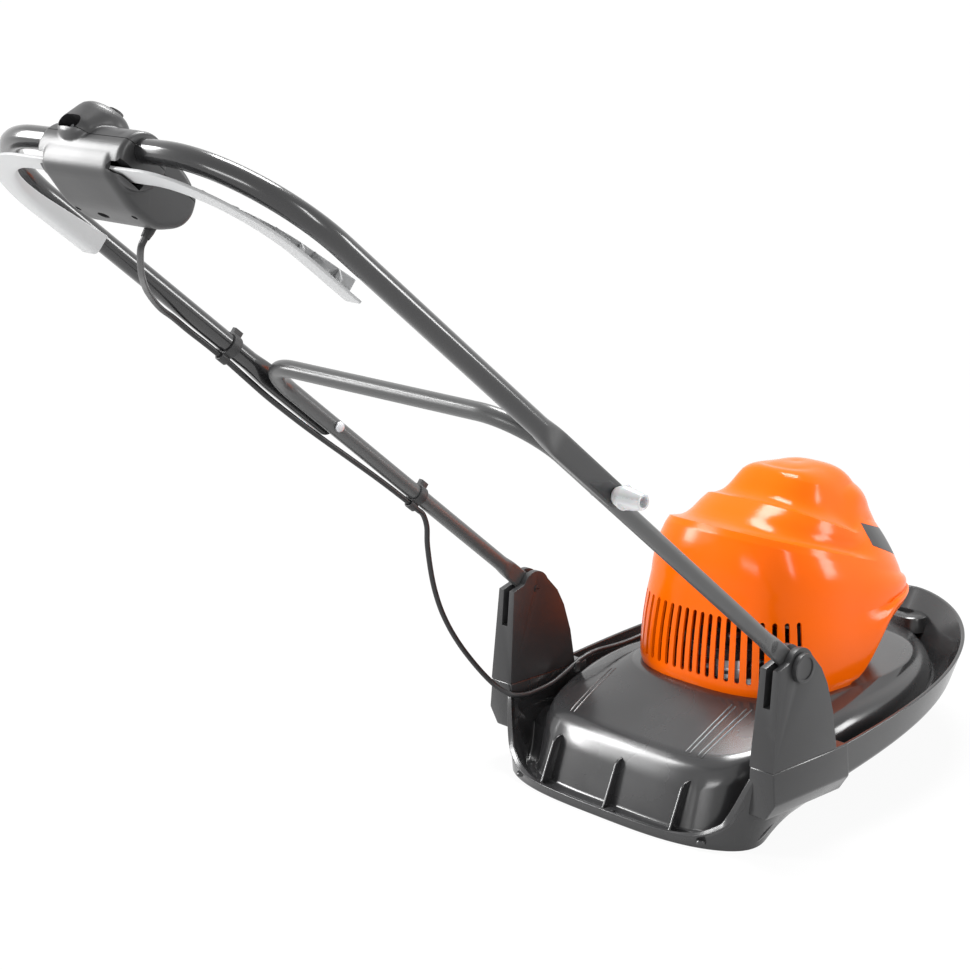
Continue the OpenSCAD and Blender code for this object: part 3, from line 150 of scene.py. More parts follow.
class ShaderGroups:
    """Builds the shader node groups that the finishes share."""

    def __init__(self) -> None:
        """Makes the three groups once."""
        self.drift = self._drift()
        self.grain = self._grain()
        self.scuff = self._scuff()

    @staticmethod
    def _drift() -> Tree:
        """Returns the group that lets a colour drift lighter and darker over the surface."""
        tree, given, sink = new_group(
            "Tone Drift", "ShaderNodeTree",
            [("Vector", "Vector"), ("Colour", "Color"), ("Scale", "Float", 9.0), ("Spread", "Float", 0.08)],
            [("Colour", "Color")],
        )
        noise = add_node(tree, "ShaderNodeTexNoise",
                         {"Vector": given["Vector"], "Scale": given["Scale"], "Detail": 4.0})
        centred = add_node(tree, "ShaderNodeMath", {0: noise.outputs["Fac"], 1: 0.5}, operation="SUBTRACT")
        spread = add_node(tree, "ShaderNodeMath", {0: centred.outputs[0], 1: given["Spread"], 2: 1.0},
                          operation="MULTIPLY_ADD")
        scale = add_node(tree, "ShaderNodeVectorMath", {0: given["Colour"], "Scale": spread.outputs[0]},
                         operation="SCALE")
        feed(tree, sink, {"Colour": scale.outputs[0]})
        return tree

    @staticmethod
    def _grain() -> Tree:
        """Returns the group with the fine pitted grain of moulded and painted surfaces."""
        tree, given, sink = new_group(
            "Fine Grain", "ShaderNodeTree",
            [("Vector", "Vector"), ("Scale", "Float", 900.0), ("Smooth", "Float", 0.3),
             ("Rough", "Float", 0.45)],
            [("Height", "Float"), ("Roughness", "Float")],
        )
        fine = add_node(tree, "ShaderNodeTexNoise",
                        {"Vector": given["Vector"], "Scale": given["Scale"], "Detail": 3.0})
        broad = add_node(tree, "ShaderNodeTexNoise",
                         {"Vector": given["Vector"], "Scale": 14.0, "Detail": 6.0})
        span = add_node(tree, "ShaderNodeMapRange",
                        {"Value": broad.outputs["Fac"], "From Min": 0.3, "From Max": 0.7,
                         "To Min": given["Smooth"], "To Max": given["Rough"]})
        feed(tree, sink, {"Height": fine.outputs["Fac"], "Roughness": span.outputs["Result"]})
        return tree

    @staticmethod
    def _scuff() -> Tree:
        """Returns the group with sparse hairline scuffs as a mask."""
        tree, given, sink = new_group(
            "Hairline Scuffs", "ShaderNodeTree",
            [("Vector", "Vector"), ("Scale", "Float", 30.0), ("Amount", "Float", 0.3)],
            [("Mask", "Float")],
        )
        stretch = add_node(tree, "ShaderNodeMapping",
                           {"Vector": given["Vector"], "Rotation": (0.5, 0.9, 0.3),
                            "Scale": (1.0, 14.0, 1.0)})
        noise = add_node(tree, "ShaderNodeTexNoise",
                         {"Vector": stretch.outputs["Vector"], "Scale": given["Scale"], "Detail": 2.0})
        span = add_node(tree, "ShaderNodeMapRange",
                        {"Value": noise.outputs["Fac"], "From Min": 0.66, "From Max": 0.76})
        gain = add_node(tree, "ShaderNodeMath", {0: span.outputs["Result"], 1: given["Amount"]},
                        operation="MULTIPLY")
        feed(tree, sink, {"Mask": gain.outputs[0]})
        return tree


GROUPS = ShaderGroups()


@dataclass(frozen=True)
class Finish:
    """A surface finish: one colour with drift, grain, scuffs and a gloss."""

    name: str
    colour: tuple[float, float, float]
    worn: tuple[float, float, float]
    smooth: float = 0.3
    rough: float = 0.42
    metallic: float = 0.0
    coat: float = 0.0
    coat_roughness: float = 0.08
    grain_scale: float = 900.0
    grain_depth: float = 0.04
    drift_scale: float = 9.0
    drift: float = 0.1
    scuffs: float = 0.12
    scuff_scale: float = 30.0
    transmission: float = 0.0
    subsurface: float = 0.0
    specular: float = 0.5
    grain_height: float = 0.0006
    subsurface_scale: float = 0.004

    def material(self) -> bpy.types.Material:
        """Returns the finish's material, made on first use."""
        known = bpy.data.materials.get(self.name)
        if known:
            return known
        made = bpy.data.materials.new(self.name)
        made.use_nodes = True
        tree = made.node_tree
        group = "ShaderNodeGroup"
        place = add_node(tree, "ShaderNodeTexCoord").outputs["Object"]
        drift = add_node(tree, group, node_tree=GROUPS.drift)
        grain = add_node(tree, group, node_tree=GROUPS.grain)
        scuff = add_node(tree, group, node_tree=GROUPS.scuff)
        feed(tree, drift, {"Vector": place, "Colour": (*self.colour, 1.0), "Scale": self.drift_scale,
                           "Spread": self.drift})
        feed(tree, grain, {"Vector": place, "Scale": self.grain_scale, "Smooth": self.smooth,
                           "Rough": self.rough})
        feed(tree, scuff, {"Vector": place, "Scale": self.scuff_scale, "Amount": self.scuffs})
        blend = add_node(tree, "ShaderNodeMix",
                         {"Factor": scuff.outputs["Mask"], "A": drift.outputs["Colour"],
                          "B": (*self.worn, 1.0)},
                         data_type="RGBA")
        bump = add_node(tree, "ShaderNodeBump",
                        {"Height": grain.outputs["Height"], "Strength": self.grain_depth,
                         "Distance": self.grain_height})
        feed(tree, tree.nodes["Principled BSDF"], {
            "Base Color": blend.outputs["Result"], "Roughness": grain.outputs["Roughness"],
            "Normal": bump.outputs["Normal"], "Metallic": self.metallic, "Coat Weight": self.coat,
            "Coat Roughness": self.coat_roughness, "Transmission Weight": self.transmission,
            "Subsurface Weight": self.subsurface, "Subsurface Scale": self.subsurface_scale,
            "Specular IOR Level": self.specular,
        })
        return made


class Finishes:
    """The finishes of this mower."""

    COVER = Finish("cover_orange", (0.94, 0.132, 0.0), (1.0, 0.18, 0.004), 0.14, 0.2, grain_depth=0.008,
                   drift=0.05, drift_scale=6.0, scuffs=0.02, specular=0.16)
    HOOD = Finish("hood_graphite", (0.021, 0.021, 0.022), (0.06, 0.06, 0.062), 0.2, 0.3, grain_depth=0.025,
                  drift=0.16, scuffs=0.1, coat=0.3, coat_roughness=0.16)
    BRACKET = Finish("bracket_graphite", (0.026, 0.026, 0.027), (0.07, 0.07, 0.072), 0.3, 0.42,
                     grain_depth=0.05, drift=0.14, scuffs=0.1)
    TUBE = Finish("tube_gloss", (0.018, 0.018, 0.019), (0.06, 0.06, 0.06), 0.18, 0.26, coat=0.5,
                  coat_roughness=0.1, grain_scale=1600.0, grain_depth=0.02, drift=0.1, scuffs=0.06)
    LEG = Finish("tube_satin", (0.06, 0.0605, 0.061), (0.14, 0.14, 0.14), 0.26, 0.38, coat=0.2,
                 coat_roughness=0.2, grain_scale=1600.0, grain_depth=0.03, drift=0.1, scuffs=0.08)
    BOX = Finish("box_charcoal", (0.028, 0.028, 0.029), (0.08, 0.08, 0.082), 0.38, 0.48, grain_scale=1500.0,
                 grain_depth=0.06, drift=0.14, scuffs=0.06, coat=0.15, coat_roughness=0.25)
    LEVER = Finish("lever_pale", (0.46, 0.464, 0.468), (0.54, 0.54, 0.54), 0.34, 0.46, grain_depth=0.03,
                   drift=0.05, scuffs=0.05)
    KNOB = Finish("knob_milky", (0.7, 0.71, 0.72), (0.8, 0.8, 0.8), 0.22, 0.34, grain_depth=0.03,
                  drift=0.06, scuffs=0.05, transmission=0.2, subsurface=0.15)
    RUBBER = Finish("lead_rubber", (0.012, 0.012, 0.013), (0.04, 0.04, 0.04), 0.36, 0.5, grain_scale=1800.0,
                    grain_depth=0.05, drift=0.2, scuffs=0.05)
    STEEL = Finish("bright_steel", (0.62, 0.63, 0.65), (0.78, 0.78, 0.79), 0.22, 0.38, metallic=1.0,
                   grain_scale=1200.0, grain_depth=0.05, drift=0.08, scuffs=0.25, scuff_scale=60.0)
    BLADE = Finish("blade_steel", (0.42, 0.43, 0.45), (0.66, 0.66, 0.67), 0.28, 0.5, metallic=1.0,
                   grain_depth=0.08, drift=0.2, scuffs=0.35, scuff_scale=50.0)
    COPPER = Finish("coil_copper", (0.58, 0.24, 0.1), (0.72, 0.36, 0.18), 0.3, 0.45, metallic=0.9,
                    grain_scale=700.0, grain_depth=0.2, drift=0.25, scuffs=0.2)
    LAMINATE = Finish("core_laminate", (0.3, 0.3, 0.31), (0.5, 0.5, 0.5), 0.4, 0.55, metallic=0.8,
                      grain_scale=1400.0, grain_depth=0.25, drift=0.2, scuffs=0.2)
    INNER = Finish("inner_black", (0.022, 0.022, 0.023), (0.06, 0.06, 0.06), 0.45, 0.6, grain_depth=0.06,
                   drift=0.2, scuffs=0.06)
    IMPELLER = Finish("impeller_orange", (0.8, 0.11, 0.006), (0.9, 0.22, 0.04), 0.36, 0.48, grain_depth=0.04,
                      drift=0.12, scuffs=0.15)


class Shape:
    """Small mesh helpers that every sub-assembly uses."""

    @staticmethod
    def smooth(t: Array) -> Array:
        """Returns the smooth step of t between 0 and 1."""
        c = np.clip(t, 0.0, 1.0)
        return c * c * (3.0 - 2.0 * c)

    @staticmethod
    def power(v: Array, e: float) -> Array:
        """Returns the signed power of v."""
        return np.sign(v) * np.abs(v) ** e

    @staticmethod
    def angles(count: int) -> Array:
        """Returns angles evenly round a circle."""
        return np.linspace(0, 2 * math.pi, count, endpoint=False)

    @staticmethod
    def halfway(count: int) -> Array:
        """Returns the angles midway between those that angles() gives."""
        return (np.arange(count) + 0.5) * 2 * math.pi / count

    @staticmethod
    def on_handle(points: Array) -> Array:
        """Places points of the handle in the shared frame.

        Args:
            points: rows of x across, s along the handle from its pivot and n over its plane, in mm.

        Returns:
            The points, in mm.
        """
        rows = np.asarray(points, float)
        c, k = math.cos(LEAN), math.sin(LEAN)
        x, s, n = rows[..., 0], rows[..., 1], rows[..., 2]
        return np.stack([x, PIVOT_Y - s * c + n * k, PIVOT_Z + s * k + n * c], axis=-1)

    @staticmethod
    def linked(name: str, data: bpy.types.ID) -> Object:
        """Returns a new object of the scene that holds the data."""
        obj = bpy.data.objects.new(name, data)
        bpy.context.scene.collection.objects.link(obj)
        return obj

    @staticmethod
    def removed(obj: Object) -> None:
        """Removes an object with its mesh."""
        mesh = obj.data
        bpy.data.objects.remove(obj)
        bpy.data.meshes.remove(mesh)

    @staticmethod
    def painted(obj: Object, paint: bpy.types.Material) -> None:
        """Gives an object one material in place of those it has."""
        obj.data.materials.clear()
        obj.data.materials.append(paint)

    @staticmethod
    def shaded(obj: Object, sharp: float) -> Object:
        """Shades an object smooth but for edges bent by more than an angle in degrees, and returns it."""
        obj.data.shade_smooth()
        obj.data.set_sharp_from_angle(angle=math.radians(sharp))
        return obj

    @staticmethod
    def made(name: str, points: Array, faces: Sequence[Sequence[int]], finish: Finish,
             sharp: float = 38.0) -> Object:
        """Makes a mesh object from points in mm.

        Args:
            name: the piece's name.
            points: rows of x, y, z in mm.
            faces: vertex numbers of each face.
            finish: the surface finish.
            sharp: edges bent by more than this angle stay sharp, in degrees.

        Returns:
            The new object.
        """
        mesh = bpy.data.meshes.new(name)
        mesh.from_pydata((np.asarray(points, float) * MM).tolist(), [], [list(f) for f in faces])
        mesh.update()
        obj = Shape.tidied(Shape.linked(name, mesh), sharp)
        obj.data.materials.append(finish.material())
        return obj

    @staticmethod
    def tidied(obj: Object, sharp: float) -> Object:
        """Merges doubles, points the faces outwards and shades smooth up to an angle.

        Args:
            obj: the mesh object.
            sharp: the angle from which an edge is sharp, in degrees.

        Returns:
            The same object.
        """
        bm = bmesh.new()
        bm.from_mesh(obj.data)
        bmesh.ops.remove_doubles(bm, verts=bm.verts, dist=WELD)
        bmesh.ops.dissolve_degenerate(bm, dist=WELD, edges=bm.edges)
        bmesh.ops.recalc_face_normals(bm, faces=bm.faces)
        if bm.calc_volume(signed=True) < 0:
            bmesh.ops.reverse_faces(bm, faces=bm.faces)
        bm.to_mesh(obj.data)
        bm.free()
        return Shape.shaded(obj, sharp)

    @staticmethod
    def lofted(rings: Array, loop: bool = False, caps: bool = True) -> tuple[Array, list]:
        """Joins rings of points with quads.

        Args:
            rings: array of rings by points by 3.
            loop: whether the last ring joins the first.
            caps: whether the end rings are closed with a face.

        Returns:
            The points and the faces.
        """
        count, around = rings.shape[0], rings.shape[1]
        faces = []
        for i in range(count if loop else count - 1):
            j = (i + 1) % count
            for k in range(around):
                m = (k + 1) % around
                faces.append([i * around + k, i * around + m, j * around + m, j * around + k])
        if caps and not loop:
            faces.append(list(range(around))[::-1])
            faces.append([(count - 1) * around + k for k in range(around)])
        return rings.reshape(-1, 3), faces

    @staticmethod
    def rounded(corners: Array, reach: Sequence[float], steps: int = 4, closed: bool = False) -> Array:
        """Rounds the corners of polylines that run along axis 0.

        Args:
            corners: array of corners by polylines by axes.
            reach: how far each corner's round reaches along its two sides, in mm.
            steps: points on each round.
            closed: whether the polylines are closed.

        Returns:
            The rounded polylines, with the same axis order.
        """
        count = len(corners)
        made = []
        for i in range(count):
            p = corners[i]
            ends = not closed and i in (0, count - 1)
            if ends or reach[i] <= 0:
                made.append(p)
                continue
            back = corners[i - 1] - p
            ahead = corners[(i + 1) % count] - p
            lb = np.linalg.norm(back, axis=-1, keepdims=True)
            la = np.linalg.norm(ahead, axis=-1, keepdims=True)
            start = p + back / np.maximum(lb, 1e-9) * np.minimum(reach[i], 0.46 * lb)
            end = p + ahead / np.maximum(la, 1e-9) * np.minimum(reach[i], 0.46 * la)
            for k in range(steps + 1):
                t = k / steps
                made.append((1 - t) ** 2 * start + 2 * t * (1 - t) * p + t * t * end)
        return np.array(made)

    @staticmethod
    def curve(points: Sequence[Sequence[float]], between: int) -> Array:
        """Runs a smooth curve through points.

        Args:
            points: the points that the curve passes.
            between: steps from each point to the next.

        Returns:
            The points of the curve.
        """
        p = np.asarray(points, float)
        made = []
        last = len(p) - 1
        for i in range(last):
            a, b, c, d = p[max(i - 1, 0)], p[i], p[i + 1], p[min(i + 2, last)]
            for k in range(between):
                t = k / between
                made.append(0.5 * (2 * b + (c - a) * t + (2 * a - 5 * b + 4 * c - d) * t * t
                                   + (3 * b - a - 3 * c + d) * t ** 3))
        made.append(p[last])
        return np.array(made)

    @staticmethod
    def swept(path: Array, section: Callable[[int], Array], up: Sequence[float]) -> tuple[Array, list]:
        """Sweeps a section along a path, with closed ends.

        Args:
            path: the points of the path.
            section: gives the (side, up) points of the section at a path point.
            up: the direction that the section's second axis starts in.

        Returns:
            The points and the faces.
        """
        steps = np.linalg.norm(np.diff(path, axis=0), axis=1)
        along = np.concatenate([[0.0], np.cumsum(steps)])
        tangent = np.gradient(path, along, axis=0)
        tangent /= np.linalg.norm(tangent, axis=1, keepdims=True)
        v = np.asarray(up, float)
        rings = []
        for i, point in enumerate(path):
            v = v - (v @ tangent[i]) * tangent[i]
            v = v / np.linalg.norm(v)
            u = np.cross(tangent[i], v)
            flat = section(i)
            rings.append(point + flat[:, :1] * u + flat[:, 1:] * v)
        return Shape.lofted(np.array(rings))

    @staticmethod
    def turned(profile: Sequence[Sequence[float]], sides: int, order: Sequence[int] = (0, 1, 2),
               at: Sequence[float] = (0, 0, 0), grow: Sequence[float] = (1, 1, 1)) -> Array:
        """Turns a profile about an axis.

        Args:
            profile: rows of radius and height.
            sides: points round.
            order: which of side, side and height each of x, y and z takes.
            at: the place of the profile's origin, in mm.
            grow: the scale along x, y and z.

        Returns:
            Rings of points, for lofted().
        """
        a = Shape.angles(sides)
        rings = np.array([[[r * math.cos(w), r * math.sin(w), z] for w in a] for r, z in profile])
        return rings[..., list(order)] * grow + at

    @staticmethod
    def prism(outline: Sequence[Sequence[float]], along: int, low: float, high: float) -> tuple[Array, list]:
        """Pulls a flat outline along an axis.

        Args:
            outline: rows of places on the two other axes, in mm.
            along: the axis's number.
            low: where it starts.
            high: where it ends.

        Returns:
            The points and the faces.
        """
        flat = np.asarray(outline, float)
        return Shape.lofted(np.array([np.insert(flat, along, end, axis=1) for end in (low, high)]))

    @staticmethod
    def stadium(r: float, half: float, sides: int) -> Array:
        """Returns the outline of a round-ended slot.

        Args:
            r: the radius of its ends.
            half: the distance of their centres from the middle.
            sides: points round.
        """
        c, s = np.cos(Shape.angles(sides)), np.sin(Shape.angles(sides))
        return np.column_stack([c * r + np.where(c >= 0, half, -half), s * r])

    @staticmethod
    def hoop(stops: Sequence[float], half_w: float, bar_s: float, bend: float, steps: int) -> Array:
        """Runs a U-shaped middle line from its left end to its right.

        Args:
            stops: places along each leg.
            half_w: the legs' distance from the middle.
            bar_s: where the bar is.
            bend: the bends' radius.
            steps: points on each bend, with its start.

        Returns:
            Rows of (x, s, n), in mm.
        """
        half = [[-half_w, s, 0.0] for s in stops]
        half += [[-half_w + bend - bend * math.cos(t), bar_s - bend + bend * math.sin(t), 0.0]
                 for t in np.linspace(0, math.pi / 2, steps)[1:]]
        half += [[x, bar_s, 0.0] for x in np.linspace(-half_w + bend, 0.0, 8)[1:]]
        return np.array(half + [[-x, s, n] for x, s, n in half[-2::-1]])

    @staticmethod
    def applied(obj: Object) -> Object:
        """Turns an object with live modifiers into a plain mesh and returns it."""
        graph = bpy.context.evaluated_depsgraph_get()
        graph.update()
        mesh = bpy.data.meshes.new_from_object(obj.evaluated_get(graph))
        old = obj.data
        obj.modifiers.clear()
        obj.data = mesh
        bpy.data.meshes.remove(old)
        mesh.name = obj.name
        return obj

    @staticmethod
    def cut(obj: Object, tools: Sequence[Object], kind: Cut = Cut.OUT, sharp: float = 35.0) -> Object:
        """Cuts an object by solids, which are then removed.

        Args:
            obj: the object that changes.
            tools: the cutting solids.
            kind: how each tool works on it.
            sharp: the angle from which an edge is sharp afterwards, in degrees.

        Returns:
            The changed object.
        """
        for tool in tools:
            step = obj.modifiers.new("cut", "BOOLEAN")
            step.operation = kind.value
            step.object = tool
            step.solver = "EXACT"
        Shape.applied(obj)
        for tool in tools:
            Shape.removed(tool)
        return Shape.tidied(obj, sharp)

    @staticmethod
    def tool(points: Array, faces: list) -> Object:
        """Returns a cutting solid made from points in mm."""
        return Shape.made("cutter", points, faces, Finishes.INNER)

    @staticmethod
    def bevelled(obj: Object, width: float, angle: float = 32.0, sharp: float = 50.0) -> Object:
        """Rounds the hard edges of an object.

        Args:
            obj: the mesh object.
            width: the round's width, in mm.
            angle: edges bent by more than this get a round, in degrees.
            sharp: the angle from which an edge stays sharp, in degrees.

        Returns:
            The changed object.
        """
        step = obj.modifiers.new("round", "BEVEL")
        step.width = width * MM
        step.segments = 3
        step.limit_method = "ANGLE"
        step.angle_limit = math.radians(angle)
        step.use_clamp_overlap = True
        return Shape.shaded(Shape.applied(obj), sharp)

    @staticmethod
    def crisp(obj: Object) -> Object:
        """Lets large faces rule the shading, so that narrow rounds read as creases. Returns the object."""
        step = obj.modifiers.new("crisp", "WEIGHTED_NORMAL")
        step.mode = "FACE_AREA"
        step.weight = 60
        step.keep_sharp = True
        return Shape.applied(obj)

    @staticmethod
    def copied(node: str, name: str, finish: Finish, width: float) -> Object:
        """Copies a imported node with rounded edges.

        Args:
            node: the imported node.
            name: the new piece's name.
            finish: its finish.
            width: the round on its edges, in mm.

        Returns:
            The new piece.
        """
        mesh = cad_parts[node].data.copy()
        mesh.materials.clear()
        obj = Shape.linked(name, mesh)
        bm = bmesh.new()
        bm.from_mesh(mesh)
        bmesh.ops.remove_doubles(bm, verts=bm.verts, dist=WELD)
        bmesh.ops.dissolve_limit(bm, angle_limit=math.radians(1.5), verts=bm.verts, edges=bm.edges)
        bm.to_mesh(mesh)
        bm.free()
        obj.data.materials.append(finish.material())
        return Shape.bevelled(obj, width)


class NodeTrees:
    """Geometry Nodes trees for what repeats on the mower."""

    def __init__(self) -> None:
        """Makes the trees once."""
        self.fan = self._fan()
        self.copies = self._copies()

    @staticmethod
    def _end(tree: Tree, copies: Node, finish: bpy.types.NodeSocket, sink: Node) -> Tree:
        """Ends a tree in Realize Instances and Set Material.

        Args:
            tree: the tree.
            copies: the node that makes the instances.
            finish: the socket that brings the material.
            sink: the tree's output node.

        Returns:
            The tree.
        """
        real = add_node(tree, "GeometryNodeRealizeInstances", {0: copies.outputs[0]})
        paint = add_node(tree, "GeometryNodeSetMaterial", {"Geometry": real.outputs[0], "Material": finish})
        feed(tree, sink, {"Geometry": paint.outputs["Geometry"]})
        return tree

    def _fan(self) -> Tree:
        """Returns the tree that fans copies of a shape round an upright axis."""
        tree, given, sink = new_group(
            "Fan Of Slots", "GeometryNodeTree",
            [("Geometry", "Geometry"), ("Count", "Int"), ("First Angle", "Float"), ("Step", "Float"),
             ("Centre", "Vector"), ("Material", "Material")],
            [("Geometry", "Geometry")],
        )
        line = add_node(tree, "GeometryNodeMeshLine", {"Count": given["Count"]})
        number = add_node(tree, "GeometryNodeInputIndex")
        angle = add_node(tree, "ShaderNodeMath",
                         {0: number.outputs[0], 1: given["Step"], 2: given["First Angle"]},
                         operation="MULTIPLY_ADD")
        turn = add_node(tree, "ShaderNodeCombineXYZ", {"Z": angle.outputs[0]})
        place = add_node(tree, "GeometryNodeSetPosition",
                         {"Geometry": line.outputs["Mesh"], "Position": given["Centre"]})
        copies = add_node(tree, "GeometryNodeInstanceOnPoints",
                          {"Points": place.outputs["Geometry"], "Instance": given["Geometry"],
                           "Rotation": turn.outputs[0]})
        return self._end(tree, copies, given["Material"], sink)

    def _copies(self) -> Tree:
        """Returns the tree that puts a shape at every point, turned by the point's own turn."""
        tree, given, sink = new_group(
            "Placed Copies", "GeometryNodeTree",
            [("Geometry", "Geometry"), ("Shape", "Object"), ("Material", "Material")],
            [("Geometry", "Geometry")],
        )
        shape = add_node(tree, "GeometryNodeObjectInfo", {"Object": given["Shape"]})
        kind = "GeometryNodeInputNamedAttribute"
        turn = add_node(tree, kind, {"Name": "turn"}, data_type="FLOAT_VECTOR")
        grow = add_node(tree, kind, {"Name": "grow"}, data_type="FLOAT_VECTOR")
        copies = add_node(tree, "GeometryNodeInstanceOnPoints",
                          {"Points": given["Geometry"], "Instance": shape.outputs["Geometry"],
                           "Rotation": turn.outputs["Attribute"], "Scale": grow.outputs["Attribute"]})
        return self._end(tree, copies, given["Material"], sink)

    @staticmethod
    def _run(obj: Object, tree: Tree, values: dict) -> Object:
        """Runs a tree on an object, which is a plain mesh afterwards.

        Args:
            obj: the object.
            tree: the tree.
            values: value by input name.

        Returns:
            The same object.
        """
        live = obj.modifiers.new(tree.name, "NODES")
        live.node_group = tree
        for socket in tree.interface.items_tree:
            if socket.item_type == "SOCKET" and socket.in_out == "INPUT" and socket.name in values:
                live[socket.identifier] = values[socket.name]
        return Shape.applied(obj)

    def fanned(self, obj: Object, count: int, first: float, step: float, centre: Sequence[float],
               finish: Finish) -> Object:
        """Turns a shape into a fan of copies.

        Args:
            obj: the shape, round the origin.
            count: how many copies.
            first: the first copy's angle, in degrees.
            step: the angle from one to the next, in degrees.
            centre: the fan's axis, in mm.
            finish: the copies' finish.

        Returns:
            The same object, holding all copies.
        """
        return self._run(obj, self.fan, {
            "Count": count, "First Angle": math.radians(first), "Step": math.radians(step),
            "Centre": [c * MM for c in centre], "Material": finish.material(),
        })

    def placed(self, name: str, shape: Object, places: Sequence[Sequence[float]],
               turns: Sequence[Sequence[float]], finish: Finish,
               grows: Optional[Sequence[Sequence[float]]] = None) -> Object:
        """Puts copies of a shape at points.

        Args:
            name: the new piece's name.
            shape: the shape, which is removed afterwards.
            places: the points, in mm.
            turns: the turn of each copy as Euler angles.
            finish: the copies' finish.
            grows: the scale of each copy along its axes, or none for full size.

        Returns:
            The new piece, one plain mesh.
        """
        mesh = bpy.data.meshes.new(name)
        mesh.from_pydata((np.asarray(places, float) * MM).tolist(), [], [])
        sizes = np.ones((len(places), 3)) if grows is None else grows
        for label, rows in (("turn", turns), ("grow", sizes)):
            layer = mesh.attributes.new(label, "FLOAT_VECTOR", "POINT")
            layer.data.foreach_set("vector", np.asarray(rows, np.float32).ravel())
        values = {"Shape": shape, "Material": finish.material()}
        obj = self._run(Shape.linked(name, mesh), self.copies, values)
        Shape.removed(shape)
        return Shape.tidied(obj, 35.0)


TREES = NodeTrees()


def ridden(obj: Object, body: Body, *nodes: str, slot: Optional[str] = None) -> None:
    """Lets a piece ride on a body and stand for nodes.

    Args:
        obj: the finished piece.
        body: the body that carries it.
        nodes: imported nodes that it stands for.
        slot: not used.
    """
    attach(obj, body.value)
    if nodes:
        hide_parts(*nodes)
    LOG.info("%s rides on %s, %d faces", obj.name, body.value, len(obj.data.polygons))


def carried(node: str, name: str, body: Body, finish: Finish, width: float,
            slot: Optional[str] = None) -> None:
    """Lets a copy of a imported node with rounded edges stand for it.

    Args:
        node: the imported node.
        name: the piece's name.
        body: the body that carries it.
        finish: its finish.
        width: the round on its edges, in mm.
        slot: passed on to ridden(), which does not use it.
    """
    ridden(Shape.copied(node, name, finish, width), body, node, slot=slot)


